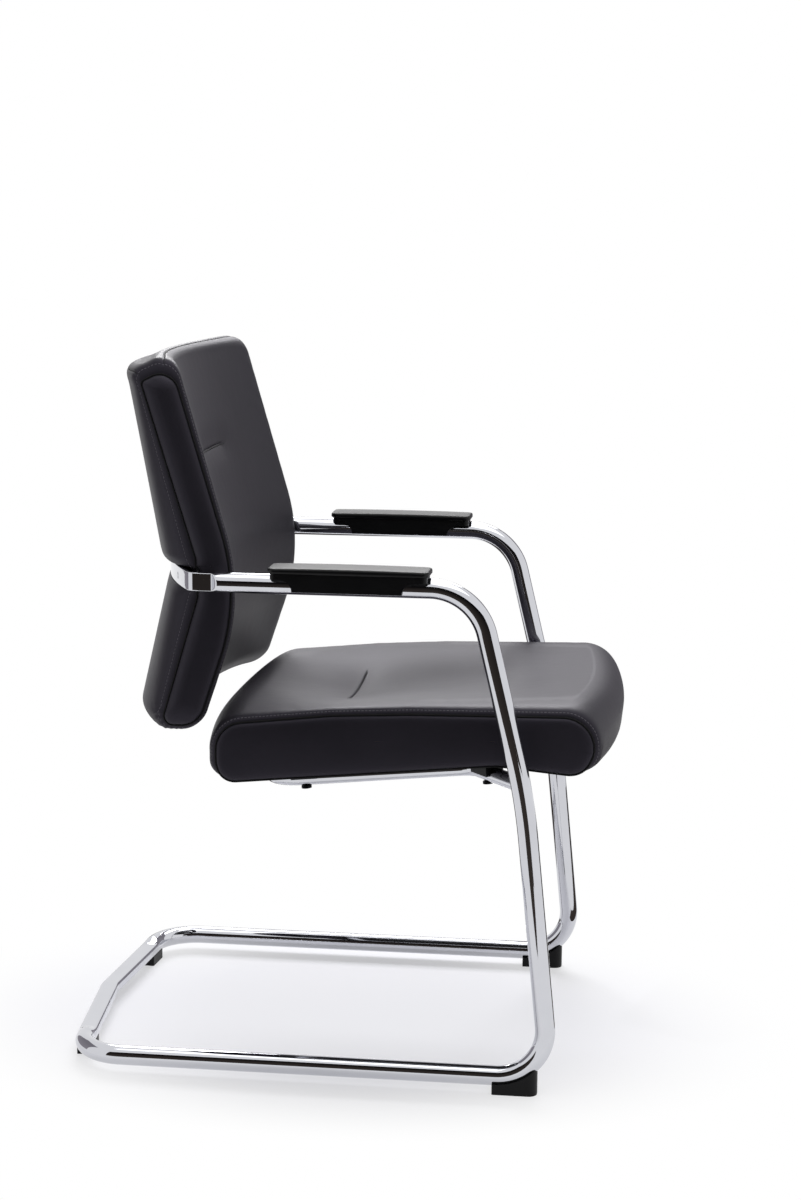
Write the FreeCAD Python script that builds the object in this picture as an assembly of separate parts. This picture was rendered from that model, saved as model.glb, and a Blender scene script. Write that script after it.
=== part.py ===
import FreeCAD, Part
import math
import os

# A cantilever conference chair with arms: a bent chrome tube frame, a flat chrome
# band behind the backrest, a hoop under the seat, leather cushions on moulded
# boards, arm pads and feet. Millimetres, +X forward, +Y to the sitter's left,
# +Z up, origin on the floor in the middle of the chair.

V = FreeCAD.Vector

# Frame tube
tube_diameter = 25.0
tube_wall = 2.0
frame_half_width = 248.0
foot_gap = 8.0
front_corner_x = 280.0
front_bend_radius = 60.0
lower_lean_deg = 5.9
upper_lean_deg = 13.6
kink_z = 376.0
kink_radius = 800.0
arm_z = 632.0
arm_bend_radius = 72.0

# Height of the line about which the springy frame is taken to bend
flex_z = 110.0
flex_nose_radius = 14.0
flex_gap = 0.3

# Floor crossbar, pressed flat and bent to a shallow vee
crossbar_x = -340.6
crossbar_vee_deg = 5.0
crossbar_width = 24.5
crossbar_height = 14.0
crossbar_edge_radius = 4.0
crossbar_apex_radius = 60.0
corner_radius = 60.0
crossbar_press_length = 25.0
crossbar_press_side_deg = 14.0
crossbar_press_top_deg = 44.0
runner_joint_x = -225.0
sleeve_length = 60.0
sleeve_wall = 2.0
slip_fit = 0.05

# Feet
front_foot_rear_x = 209.0
front_foot_front_x = 265.0
front_foot_width = 28.0
front_foot_nose_radius = 11.0
front_foot_wrap = 5.0
front_foot_screw_x = 224.0
rear_foot_length = 42.0
rear_foot_width = 22.0
rear_foot_from_joint = 15.0
foot_edge_radius = 2.0
seat_on_tube = 0.15
foot_screw_diameter = 4.0
foot_screw_head_diameter = 9.0
foot_screw_head_height = 2.5
foot_screw_recess = 4.0
foot_screw_tip_drop = 4.0
hole_clearance = 0.2

# Back band, welded to the pressed ends of the arms
band_height = 23.0
band_thickness = 6.0
band_edge_radius = 1.5
band_rear_x = -237.0
band_corner_x = -173.0
band_corner_radius = 12.0
arm_press_length = 22.0
arm_press_thickness = 8.0
arm_press_side_deg = 50.0
arm_press_top_deg = 12.0
band_end_length = 3.0
band_screw_inner_y = 90.0
band_screw_edge = 17.0
band_screw_diameter = 6.0
band_screw_head_diameter = 9.0
band_screw_head_height = 2.5
band_spacer_diameter = 16.0
insert_wall = 1.5
insert_end_cover = 1.0

# Seat hoop under the cushion
hoop_diameter = 20.0
hoop_wall = 2.0
hoop_z = 393.0
hoop_bend_x = 172.0
hoop_rear_x = -90.0
hoop_inset = 80.0
hoop_drop = 26.0
hoop_front_radius = 30.0
hoop_rear_radius = 45.0
saddle_length = 34.0
saddle_width = 26.0
seat_gap = 3.0
seat_bolt_diameter = 8.0
seat_bolt_head_diameter = 13.0
seat_bolt_head_height = 3.0
seat_bolt_head_gap = 0.8
seat_bolt_front_share = 0.7
seat_bolt_rear_x = -40.0
tee_flange_diameter = 20.0
tee_flange_height = 1.6
tee_barrel_wall = 1.2

# Seat cushion
seat_side_clearance = 12.5
seat_front_x = 357.6
seat_rear_x = -147.0
seat_front_bulge = 24.0
seat_rear_bulge = 22.0
seat_rear_rise = 44.0
seat_rear_crown = 12.0
seat_tuck_rise = 61.0
seat_tuck_x = 1.0
seat_crest_rise = 68.5
seat_crest_x = 100.0
seat_front_rise = 73.0
seat_front_fall = 0.09
seat_fold_x = 206.0
seat_front_tuck_under = 10.0
seat_front_crown = 8.0
seat_dish = 16.0
seat_roll = 10.0
seat_rear_bottom_radius = 26.0
seat_rear_top_radius = 30.0
seat_tuck_radius = 260.0
seat_crest_radius = 500.0
seat_front_top_radius = 40.0
seat_front_bottom_radius = 24.0
seat_fold_radius = 30.0
seat_tuck_half_length = 92.0
side_swell = 3.0
side_swell_margin = 8.0
tuck_width = 13.0
tuck_depth = 7.0
leather = 2.0
soft_gap = 0.3
board_gap = 0.7
seat_board_thickness = 11.0
seat_board_margin = 20.0
seat_hem = 40.0

# Backrest cushion, measured from the arm height
back_side_clearance = 13.5
back_waist_half = 15.0
back_waist_gap = 4.0
back_edge_gap = 12.0
back_bulge_rise = 27.0
back_upper_bulge_edge_x = -172.0
back_upper_bulge_middle_x = -250.0
back_lower_bulge_edge_x = -166.0
back_lower_bulge_middle_x = -240.0
back_bow_share = 0.65
back_top_rise = 261.0
back_top_rear_rise = 239.0
back_top_crown = 12.0
back_top_rear_edge_x = -238.0
back_top_rear_middle_x = -287.0
back_bottom_drop = 189.0
back_bottom_rear_edge_x = -217.0
back_bottom_rear_middle_x = -277.0
back_lumbar_drop = 23.0
back_lumbar_x = -111.0
back_top_front_x = -195.0
back_bottom_front_x = -165.0
back_hollow = 36.0
back_lumbar_radius = 230.0
back_top_front_radius = 26.0
back_top_rear_radius = 9.0
back_waist_radius = 6.0
back_bulge_radius = 10.0
back_bottom_rear_radius = 14.0
back_bottom_front_radius = 34.0
back_tuck_rise = 138.0
back_tuck_half_length = 70.0
back_shell_thickness = 7.0
back_shell_margin = 20.0
back_shell_edge_radius = 1.0

# Arm pads
pad_rear_x = -71.0
pad_front_x = 126.0
pad_width = 47.0
pad_corner_radius = 9.0
pad_base_bottom = 8.0
pad_base_height = 8.0
pad_top_height = 7.0
pad_edge_radius = 2.5
pad_base_setback = 3.0
pad_skirt_drop = 6.5
pad_skirt_rear_x = -41.0
pad_skirt_front_x = 93.0
pad_screw_spacing = 76.0
pad_screw_diameter = 5.0
pad_screw_head_diameter = 9.0
pad_screw_head_height = 3.0
pad_screw_head_drop = 1.2
pad_screw_tip_cover = 2.0

# Values that follow from the sizes above
tube_radius = tube_diameter / 2
hoop_radius = hoop_diameter / 2
runner_z = foot_gap + tube_radius
seat_half_width = frame_half_width - tube_radius - seat_side_clearance
back_half_width = frame_half_width - tube_radius - back_side_clearance
hoop_half_width = frame_half_width - hoop_inset
band_screw_outer_y = back_half_width - band_screw_edge
lower_run = math.tan(math.radians(lower_lean_deg))
upper_run = math.tan(math.radians(upper_lean_deg))
kink_x = front_corner_x - lower_run * (kink_z - runner_z)
arm_corner_x = kink_x - upper_run * (arm_z - kink_z)
vee_run = math.tan(math.radians(crossbar_vee_deg))
hoop_slope = hoop_drop / (hoop_bend_x - hoop_rear_x)
hoop_tilt = math.atan(hoop_slope)
seat_up = V(-math.sin(hoop_tilt), 0, math.cos(hoop_tilt))
seat_rise = (hoop_radius + seat_gap) / math.cos(hoop_tilt)
seat_base_z = hoop_z + seat_rise
band_sagitta = band_corner_x - band_rear_x
band_radius = (band_sagitta ** 2 + frame_half_width ** 2) / (2 * band_sagitta)
band_centre_x = band_rear_x + band_radius
band_middle_radius = band_radius - band_thickness / 2

# Places across a cushion where its outline is drawn, as shares of its half width
loft_shares = (-1.0, -0.8, -0.4, 0.0, 0.4, 0.8, 1.0)

parts = {}


def mirrored(shape):
    """The same piece on the other side of the chair."""
    return shape.mirror(V(0, 0, 0), V(0, 1, 0))


def both_sides(shapes):
    """A group of separate solids with its mirror image."""
    return Part.makeCompound(shapes + [mirrored(shape) for shape in shapes])


def corner_arc(before, point, after, radius):
    """Start, middle, end and centre of the tangent arc that rounds one corner."""
    back = (before - point).normalize()
    onward = (after - point).normalize()
    half = back.getAngle(onward) / 2
    reach = radius / math.tan(half)
    inward = (back + onward).normalize()
    middle = point + inward * (radius / math.sin(half) - radius)
    centre = point + inward * (radius / math.sin(half))
    return point + back * reach, middle, point + onward * reach, centre


def rounded_path(points, radii):
    """Open wire of straight runs joined by tangent arcs; radii fit the inner points."""
    edges = []
    last = points[0]
    for i, radius in enumerate(radii, start=1):
        start, middle, end, centre = corner_arc(points[i - 1], points[i], points[i + 1], radius)
        edges.append(Part.LineSegment(last, start).toShape())
        edges.append(Part.Arc(start, middle, end).toShape())
        last = end
    edges.append(Part.LineSegment(last, points[-1]).toShape())
    return Part.Wire(edges)


def rounded_outline(points, radii):
    """Closed wire of straight runs joined by tangent arcs."""
    count = len(points)
    arcs = []
    for i in range(count):
        arcs.append(corner_arc(points[i - 1], points[i], points[(i + 1) % count], radii[i]))
    edges = []
    for i in range(count):
        start, middle, end, centre = arcs[i]
        edges.append(Part.Arc(start, middle, end).toShape())
        edges.append(Part.LineSegment(end, arcs[(i + 1) % count][0]).toShape())
    return Part.Wire(edges)


def offset_outline(points, insets):
    """Corner points of an upright outline with each side moved inwards by its inset."""
    count = len(points)
    lines = []
    for i in range(count):
        a, b = points[i], points[(i + 1) % count]
        run = (b - a).normalize()
        lines.append((a + V(run.z, 0, -run.x) * insets[i], run))
    moved = []
    for i in range(count):
        (p, u), (q, w) = lines[i - 1], lines[i]
        share = ((q.x - p.x) * w.z - (q.z - p.z) * w.x) / (u.x * w.z - u.z * w.x)
        moved.append(p + u * share)
    return moved


def inset_radii(points, radii, insets):
    """Corner radii after the sides have moved in: larger in hollows, smaller elsewhere."""
    rounds = []
    for i, radius in enumerate(radii):
        a, b, c = points[i - 1], points[i], points[(i + 1) % len(points)]
        inset = max(insets[i - 1], insets[i])
        hollow = (b.x - a.x) * (c.z - b.z) - (b.z - a.z) * (c.x - b.x) > 0
        rounds.append(radius + inset if hollow else radius ** 2 / (radius + inset))
    return rounds


def inset_section(points, radii, insets):
    """Rounded wire of an outline after its sides have moved inwards."""
    return rounded_outline(offset_outline(points, insets), inset_radii(points, radii, insets))


def padded_form(points_at, radii, half_width, insets):
    """Side outlines lofted smoothly across the chair, with the two end outlines."""
    wires = []
    for share in loft_shares:
        wires.append(inset_section(points_at(share * half_width), radii, insets))
    return Part.makeLoft(wires, True, False), wires[0], wires[-1]


def cushion(points_at, radii, half_width, inset):
    """Padded form inside an even skin, with swollen side panels."""
    half = half_width - inset
    form, right, left = padded_form(points_at, radii, half, [inset] * len(radii))
    panels = []
    for way, seam in ((-1, right), (1, left)):
        middle = [V(p.x, way * (half + side_swell), p.z) for p in points_at(way * half)]
        swell = inset_section(middle, radii, [inset + side_swell_margin] * len(radii))
        panels.append(Part.makeLoft([seam, swell], True, True))
    return form.fuse(panels)


def disc(middle, direction, radius):
    """Round face across an axis."""
    return Part.Face(Part.Wire(Part.makeCircle(radius, middle, direction)))


def bent_rod(points, radii, radius):
    """Round rod of straight runs and tangent bends."""
    pieces = []
    last = points[0]
    for i, bend_radius in enumerate(radii, start=1):
        start, middle, end, centre = corner_arc(points[i - 1], points[i], points[i + 1], bend_radius)
        before = points[i] - points[i - 1]
        after = points[i + 1] - points[i]
        turn = math.degrees(before.getAngle(after))
        pieces.append(disc(last, before, radius).extrude(start - last))
        pieces.append(disc(start, before, radius).revolve(centre, before.cross(after), turn))
        last = end
    after = points[-1] - points[-2]
    pieces.append(disc(last, after, radius).extrude(points[-1] - last))
    return pieces[0].fuse(pieces[1:]).removeSplitter()


def bent_tube(points, radii, radius, wall):
    """The same, hollow."""
    return bent_rod(points, radii, radius).cut(bent_rod(points, radii, radius - wall))


def pressed_ring(middle, side, up, half_width, half_height, edge_radius):
    """Rounded rectangle of eight edges about a point."""
    flat_w = half_width - edge_radius
    flat_h = half_height - edge_radius
    bevel = edge_radius * math.sqrt(0.5)
    edges = []
    for s, u in ((1, 1), (-1, 1), (-1, -1), (1, -1)):
        core = middle + side * (s * flat_w) + up * (u * flat_h)
        out_side = core + side * (s * edge_radius)
        out_up = core + up * (u * edge_radius)
        mid = core + side * (s * bevel) + up * (u * bevel)
        first, last = (out_side, out_up) if s * u > 0 else (out_up, out_side)
        edges.append(Part.Arc(first, mid, last).toShape())
    wire = []
    for i in range(4):
        wire.append(edges[i])
        gap = (edges[i].Vertexes[-1].Point, edges[(i + 1) % 4].Vertexes[0].Point)
        wire.append(Part.LineSegment(gap[0], gap[1]).toShape())
    return Part.Wire(wire)


def round_ring(middle, side, up, radius, side_deg, up_deg):
    """Circle of the same eight edges as a pressed ring."""
    stops = [side_deg, 90 - up_deg, 90 + up_deg, 180 - side_deg]
    stops += [180 + side_deg, 270 - up_deg, 270 + up_deg, 360 - side_deg]

    def at(angle):
        a = math.radians(angle)
        return middle + side * (radius * math.cos(a)) + up * (radius * math.sin(a))

    edges = []
    for i, start in enumerate(stops):
        end = stops[(i + 1) % 8] + (360 if i == 7 else 0)
        edges.append(Part.Arc(at(start), at((start + end) / 2), at(end)).toShape())
    return Part.Wire(edges)


def rod(base, direction, radius, length):
    """Plain cylinder."""
    return Part.makeCylinder(radius, length, base, direction)


def block(outline, direction):
    """Flat closed outline of points pulled into a solid."""
    wire = Part.makePolygon(outline + [outline[0]])
    return Part.Face(wire).extrude(direction)


def upright_x(z):
    """Where the axis of an upright is at a height."""
    if z < kink_z:
        return front_corner_x - lower_run * (z - runner_z)
    return kink_x - upper_run * (z - kink_z)


def upright_point(z):
    return V(upright_x(z), -frame_half_width, z)


# Frame axes on the sitter's right; the left pieces are mirror images
apex_point = V(crossbar_x, 0, runner_z)
corner_point = V(crossbar_x + vee_run * frame_half_width, -frame_half_width, runner_z)
runner_joint = V(runner_joint_x, -frame_half_width, runner_z)
front_corner = V(front_corner_x, -frame_half_width, runner_z)
flex_point = upright_point(flex_z)
lean_up = (flex_point - front_corner).normalize()
arm_corner = V(arm_corner_x, -frame_half_width, arm_z)
band_bend_x = band_centre_x - math.sqrt(
    (band_middle_radius - band_corner_radius) ** 2 - (frame_half_width - band_corner_radius) ** 2)
band_start_x = band_bend_x + band_end_length
arm_press_x = band_start_x + arm_press_length
arm_end = V(arm_press_x, -frame_half_width, arm_z)
press_point = corner_arc(apex_point, corner_point, runner_joint, corner_radius)[0]
runner_route = [runner_joint, front_corner, flex_point]
arm_route = [flex_point - lean_up * (2 * flex_nose_radius), upright_point(kink_z), arm_corner, arm_end]
arm_radii = [kink_radius, arm_bend_radius]


def flex_drum(radius):
    """Round about the bending line, across one upright."""
    base = flex_point - V(0, tube_diameter, 0)
    return rod(base, V(0, 1, 0), radius, 2 * tube_diameter)


def make_runner():
    """Floor tube: runner, front bend and the foot of the upright."""
    tube = bent_tube(runner_route, [front_bend_radius], tube_radius, tube_wall)
    return tube.cut(flex_drum(flex_nose_radius + flex_gap))


def make_arm_tube():
    """Upright and arm in one bent tube whose rear end is pressed flat."""
    tube = bent_tube(arm_route, arm_radii, tube_radius, tube_wall)
    reach = 2 * tube_diameter
    below = Part.makeBox(reach, reach, reach, V(-reach / 2, -reach / 2, -reach))
    below.Placement = FreeCAD.Placement(flex_point, FreeCAD.Rotation(V(0, 0, 1), lean_up))
    tube = tube.cut(below.cut(flex_drum(flex_nose_radius)))
    side, up = V(0, 1, 0), V(0, 0, 1)
    end = arm_end - V(arm_press_length, 0, 0)
    shells = []
    for inset in (0.0, tube_wall):
        half_t = arm_press_thickness / 2 - inset
        half_h = band_height / 2 - inset
        first = round_ring(arm_end, side, up, tube_radius - inset, arm_press_side_deg, arm_press_top_deg)
        last = pressed_ring(end, side, up, half_t, half_h, band_edge_radius + tube_wall - inset)
        shells.append(Part.makeLoft([first, last], True, True))
    return tube.fuse(shells[0].cut(shells[1])).removeSplitter()


def crossbar_solid(inset):
    """Outside (or, with an inset, inside) of the rear floor piece."""
    run = (apex_point - press_point).normalize()
    up = V(0, 0, 1)
    across = up.cross(run)
    start = press_point + run * crossbar_press_length
    half_w = crossbar_width / 2 - inset
    half_h = crossbar_height / 2 - inset
    flat = pressed_ring(start, across, up, half_w, half_h, crossbar_edge_radius - inset)
    rounds = round_ring(press_point, across, up, tube_radius - inset, crossbar_press_side_deg,
                        crossbar_press_top_deg)
    press = Part.makeLoft([rounds, flat], True, True)
    path = rounded_path([start, apex_point, V(start.x, -start.y, start.z)], [crossbar_apex_radius])
    bar = path.makePipe(Part.Face(flat))
    bend_start, middle, bend_end, centre = corner_arc(apex_point, corner_point, runner_joint, corner_radius)
    turn = math.degrees((corner_point - apex_point).getAngle(runner_joint - corner_point))
    spin = (corner_point - apex_point).cross(runner_joint - corner_point)
    bend = disc(bend_start, run, tube_radius - inset).revolve(centre, spin, turn)
    stub = rod(bend_end, V(1, 0, 0), tube_radius - inset, runner_joint.x - bend_end.x)
    side = [press, bend, stub]
    return bar.fuse(side + [mirrored(piece) for piece in side]).removeSplitter()


def make_sleeve():
    """Inner sleeve that joins a runner to the rear floor piece."""
    radius = tube_radius - tube_wall - slip_fit
    start = runner_joint - V(sleeve_length / 2, 0, 0)
    sleeve = rod(start, V(1, 0, 0), radius, sleeve_length)
    return sleeve.cut(rod(start, V(1, 0, 0), radius - sleeve_wall, sleeve_length))


def make_front_foot():
    """Moulded block under a front bend, hollowed to seat the tube."""
    half = front_foot_width / 2
    rear, front = front_foot_rear_x, front_foot_front_x
    y = -frame_half_width
    plan = [V(rear, y - half, 0), V(front, y - half, 0), V(front, y + half, 0), V(rear, y + half, 0)]
    nose = front_foot_nose_radius
    outline = rounded_outline(plan, [foot_edge_radius, nose, nose, foot_edge_radius])
    top = runner_z + front_bend_radius
    foot = Part.Face(outline).extrude(V(0, 0, top))
    start, middle, end, centre = corner_arc(runner_joint, front_corner, flex_point, front_bend_radius)
    reach = centre.z - foot_gap - front_foot_wrap
    low = V(centre.x, 0, centre.z - reach)
    ahead = V(centre.x + reach, 0, centre.z)
    slant = V(centre.x + reach * math.sqrt(0.5), 0, centre.z - reach * math.sqrt(0.5))
    far = V(centre.x - 2 * frame_half_width, 0, low.z)
    rim = [Part.LineSegment(far, low).toShape(), Part.Arc(low, slant, ahead).toShape()]
    lid = [V(ahead.x, 0, 2 * top), V(far.x, 0, 2 * top)]
    rim.append(Part.LineSegment(ahead, lid[0]).toShape())
    rim.append(Part.LineSegment(lid[0], lid[1]).toShape())
    rim.append(Part.LineSegment(lid[1], far).toShape())
    above = Part.Face(Part.Wire(rim)).extrude(V(0, -2 * frame_half_width, 0))
    seat = bent_rod(runner_route, [front_bend_radius], tube_radius + seat_on_tube)
    return foot.cut([above, seat])


def make_rear_foot():
    """Small block under one end of the crossbar."""
    run = (apex_point - press_point).normalize()
    across = V(0, 0, 1).cross(run)
    middle = press_point + run * rear_foot_from_joint - V(0, 0, runner_z)
    a = run * (rear_foot_length / 2)
    b = across * (rear_foot_width / 2)
    corners = [middle - a - b, middle + a - b, middle + a + b, middle - a + b]
    outline = rounded_outline(corners, [foot_edge_radius] * 4)
    foot = Part.Face(outline).extrude(V(0, 0, runner_z))
    return foot.cut(crossbar_outside.translated(V(0, 0, -seat_on_tube)))


def foot_screw_points():
    """Floor points below the screws of the right-hand feet."""
    run = (apex_point - press_point).normalize()
    rear = press_point + run * rear_foot_from_joint
    return [V(front_foot_screw_x, -frame_half_width, 0), V(rear.x, rear.y, 0)]


def make_foot_screw(point):
    """Pan-head screw from below, with its head sunk in the foot."""
    seat = point + V(0, 0, foot_screw_recess)
    head = rod(seat - V(0, 0, foot_screw_head_height), V(0, 0, 1),
               foot_screw_head_diameter / 2, foot_screw_head_height)
    tip = runner_z - foot_screw_tip_drop
    shank = rod(seat, V(0, 0, 1), foot_screw_diameter / 2, tip - foot_screw_recess)
    return head.fuse(shank).removeSplitter()


def foot_screw_hole(point):
    """Room for a foot screw, with the recess for its head."""
    recess = rod(point, V(0, 0, 1), foot_screw_head_diameter / 2 + hole_clearance, foot_screw_recess)
    return recess.fuse(rod(point, V(0, 0, 1), foot_screw_diameter / 2 + hole_clearance, runner_z))


def make_band():
    """Flat band behind the backrest, from arm end to arm end."""
    start = V(band_start_x, -frame_half_width, arm_z)
    bend = V(band_bend_x, -frame_half_width, arm_z)
    centre = V(band_centre_x, 0, arm_z)
    hub = bend + V(0, band_corner_radius, 0)
    outward = (hub - centre).normalize()
    touch = centre + outward * band_middle_radius
    halfway = hub + (outward + V(0, -1, 0)).normalize() * band_corner_radius
    rear = V(band_centre_x - band_middle_radius, 0, arm_z)

    def other(p):
        return V(p.x, -p.y, p.z)

    route = [
        Part.LineSegment(start, bend).toShape(),
        Part.Arc(bend, halfway, touch).toShape(),
        Part.Arc(touch, rear, other(touch)).toShape(),
        Part.Arc(other(touch), other(halfway), other(bend)).toShape(),
        Part.LineSegment(other(bend), other(start)).toShape(),
    ]
    section = pressed_ring(start, V(0, 1, 0), V(0, 0, 1), band_thickness / 2, band_height / 2,
                           band_edge_radius)
    return Part.Wire(route).makePipe(Part.Face(section))


def band_screw_axis(y):
    """Point on the band's outer face and the direction into the backrest."""
    turn = math.asin(y / band_radius)
    inward = V(math.cos(turn), -math.sin(turn), 0)
    return V(band_centre_x, 0, arm_z) - inward * band_radius, inward


def band_inner_x(y):
    inner = band_radius - band_thickness
    return band_centre_x - math.sqrt(inner ** 2 - y ** 2)


def waist_gap(y):
    """Gap between the band and the leather, wider towards the sides."""
    return back_waist_gap + back_edge_gap * (y / back_half_width) ** 4


def along_screw(y, depth):
    """Length along a band screw that crosses a layer of a given depth from behind."""
    turn = math.asin(y / band_radius)
    slope = math.tan(turn) + 4 * back_edge_gap * y ** 3 / back_half_width ** 4
    return depth / (math.cos(turn) + slope * math.sin(turn))


def waist_depth(y):
    """Distance along a band screw from the band's outer face to the leather."""
    return band_thickness + along_screw(y, waist_gap(y))


def insert_span(y):
    """Where a threaded insert starts and ends along its band screw."""
    start = waist_depth(y) + along_screw(y, leather + board_gap) + insert_end_cover
    return start, start + along_screw(y, back_shell_thickness) - 2 * insert_end_cover


def make_band_screw(y):
    """Flush socket screw from the band into the back shell."""
    point, inward = band_screw_axis(y)
    radius = band_screw_head_diameter / 2
    head = rod(point, inward, radius, band_screw_head_height)
    socket = rod(point, inward, radius / 2, band_screw_head_height / 2)
    shank = rod(point, inward, band_screw_diameter / 2, insert_span(y)[1])
    return head.fuse(shank).removeSplitter().cut(socket)


def band_screw_hole(y):
    point, inward = band_screw_axis(y)
    recess = rod(point - inward * band_thickness, inward, band_screw_head_diameter / 2 + hole_clearance,
                 band_thickness + band_screw_head_height)
    length = insert_span(y)[1] + insert_end_cover
    return recess.fuse(rod(point, inward, band_screw_diameter / 2 + hole_clearance, length))


def make_insert(y):
    """Threaded insert in the back shell."""
    point, inward = band_screw_axis(y)
    start, end = insert_span(y)
    bore = band_screw_diameter / 2 + slip_fit
    base = point + inward * start
    return rod(base, inward, bore + insert_wall, end - start).cut(rod(base, inward, bore, end - start))


def insert_hole(y):
    point, inward = band_screw_axis(y)
    start, end = insert_span(y)
    radius = band_screw_diameter / 2 + 2 * slip_fit + insert_wall
    return rod(point + inward * (start - insert_end_cover), inward, radius, end - start + insert_end_cover)


def make_band_spacer(y):
    """Round spacer between band and leather."""
    point, inward = band_screw_axis(y)
    base = point + inward * (band_thickness + soft_gap)
    length = waist_depth(y)
    spacer = rod(base, inward, band_spacer_diameter / 2, length)
    bore = rod(base, inward, band_screw_diameter / 2 + hole_clearance, length)
    return spacer.cut([bore, back_outside])


# Seat hoop and what bolts the seat to it
hoop_start = upright_point(hoop_z)
hoop_bend = V(hoop_bend_x, -hoop_half_width, hoop_z)
hoop_rear = V(hoop_rear_x, -hoop_half_width, hoop_z - hoop_drop)
seat_plane_point = V(hoop_bend_x, 0, seat_base_z)


def hoop_rod(radius):
    """Solid round along the hoop."""
    near = [hoop_start, hoop_bend, hoop_rear]
    route = near + [V(p.x, -p.y, p.z) for p in reversed(near)]
    radii = [hoop_front_radius, hoop_rear_radius, hoop_rear_radius, hoop_front_radius]
    return bent_rod(route, radii, radius)


def make_hoop():
    """Tube hoop from upright to upright under the seat."""
    post = bent_rod(arm_route, arm_radii, tube_radius)
    return hoop_rod(hoop_radius).cut([hoop_rod(hoop_radius - hoop_wall), post, mirrored(post)])


def seat_bolt_points():
    """Points on the hoop's axis, with the hoop's direction there, on the right."""
    front = hoop_start + (hoop_bend - hoop_start) * seat_bolt_front_share
    share = (hoop_bend_x - seat_bolt_rear_x) / (hoop_bend_x - hoop_rear_x)
    rear = hoop_bend + (hoop_rear - hoop_bend) * share
    return [(front, (hoop_bend - hoop_start).normalize()), (rear, (hoop_rear - hoop_bend).normalize())]


def seat_height(point):
    """Distance from a point on the hoop up to the underside of the seat."""
    return (seat_plane_point - point).dot(seat_up)


def make_saddle(point, along):
    """Black saddle block between hoop and seat."""
    across = seat_up.cross(along).normalize()
    a = along * (saddle_length / 2)
    b = across * (saddle_width / 2)
    corners = [point - a - b, point + a - b, point + a + b, point - a + b]
    saddle = block(corners, seat_up * (seat_height(point) + seat_board_thickness))
    return saddle.cut([hoop_rod(hoop_radius + seat_on_tube), seat_outside, seat_bolt_hole(point)])


def board_top(point):
    """Distance from a point on the hoop up to the top of the seat board."""
    return seat_height(point) + leather + board_gap + seat_board_thickness


def bolt_seat(point):
    """Where the head of a seat bolt bears, just below the hoop."""
    return point - seat_up * (hoop_radius + seat_bolt_head_gap)


def bolt_reach(point):
    """Distance from a bolt's head to the top of the seat board."""
    return hoop_radius + seat_bolt_head_gap + board_top(point)


def make_seat_bolt(point):
    """Bolt from below through hoop, saddle and board."""
    under = bolt_seat(point)
    head = rod(under - seat_up * seat_bolt_head_height, seat_up, seat_bolt_head_diameter / 2,
               seat_bolt_head_height)
    shank = rod(under, seat_up, seat_bolt_diameter / 2, bolt_reach(point) - soft_gap)
    return head.fuse(shank).removeSplitter()


def seat_bolt_hole(point):
    radius = seat_bolt_diameter / 2 + hole_clearance
    return rod(bolt_seat(point), seat_up, radius, bolt_reach(point))


def tee_nut_solids(point, spare):
    """Barrel and flange of a tee nut, grown by a spare margin for its seat."""
    top = point + seat_up * board_top(point)
    radius = seat_bolt_diameter / 2 + slip_fit + tee_barrel_wall + spare
    barrel = rod(top - seat_up * (seat_board_thickness - tee_flange_height), seat_up, radius,
                 seat_board_thickness - tee_flange_height)
    flange = rod(top - seat_up * (tee_flange_height + spare), seat_up,
                 tee_flange_diameter / 2 + spare, tee_flange_height + spare)
    return barrel.fuse(flange).removeSplitter()


def make_tee_nut(point):
    """Tee nut let into the top of the seat board."""
    bore = rod(point, seat_up, seat_bolt_diameter / 2 + slip_fit, board_top(point))
    return tee_nut_solids(point, 0.0).cut(bore)


# Seat cushion, board and covers
def seat_bottom_z(x):
    """Underside of the seat: along the hoop, then falling towards the front."""
    if x < seat_fold_x:
        return seat_base_z + hoop_slope * (x - hoop_bend_x)
    fold = seat_base_z + hoop_slope * (seat_fold_x - hoop_bend_x)
    return fold - seat_front_fall * (x - seat_fold_x)


def seat_points(y):
    """Corner points of the seat's side outline, clockwise from the rear underside."""
    side = (y / seat_half_width) ** 2
    dish = seat_dish * (1 - side) ** 2
    roll = 4 * seat_roll * side * (1 - side)
    crown = 1 - side ** 2
    rear = seat_rear_x - seat_rear_bulge * (1 - side)
    front = seat_front_x - seat_front_bulge * side
    under = front - seat_front_tuck_under
    return [
        V(rear, y, seat_bottom_z(rear)),
        V(rear, y, seat_base_z + seat_rear_rise + seat_rear_crown * crown),
        V(seat_tuck_x, y, seat_base_z + seat_tuck_rise + roll - dish),
        V(seat_crest_x, y, seat_base_z + seat_crest_rise + roll - dish / 2),
        V(front, y, seat_base_z + seat_front_rise + seat_front_crown * crown),
        V(under, y, seat_bottom_z(under)),
        V(seat_fold_x, y, seat_bottom_z(seat_fold_x)),
    ]


seat_radii = [seat_rear_bottom_radius, seat_rear_top_radius, seat_tuck_radius, seat_crest_radius,
              seat_front_top_radius, seat_front_bottom_radius, seat_fold_radius]


def seat_tuck(drop):
    """Boat-shaped cut for the sewn tuck across the seat."""
    wires = []
    for share in (-1, 0, 1):
        y = share * seat_tuck_half_length
        top = seat_points(y)[2].z
        keel = top - drop - (tuck_depth if share == 0 else 0.0)
        high = top + tuck_width
        corners = [V(seat_tuck_x - tuck_width / 2, y, high), V(seat_tuck_x + tuck_width / 2, y, high),
                   V(seat_tuck_x, y, keel)]
        wires.append(Part.makePolygon(corners + [corners[0]]))
    return Part.makeLoft(wires, True, True)


def seat_solid(inset):
    """Seat form inside an even skin."""
    return cushion(seat_points, seat_radii, seat_half_width, inset).cut(seat_tuck(inset))


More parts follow.
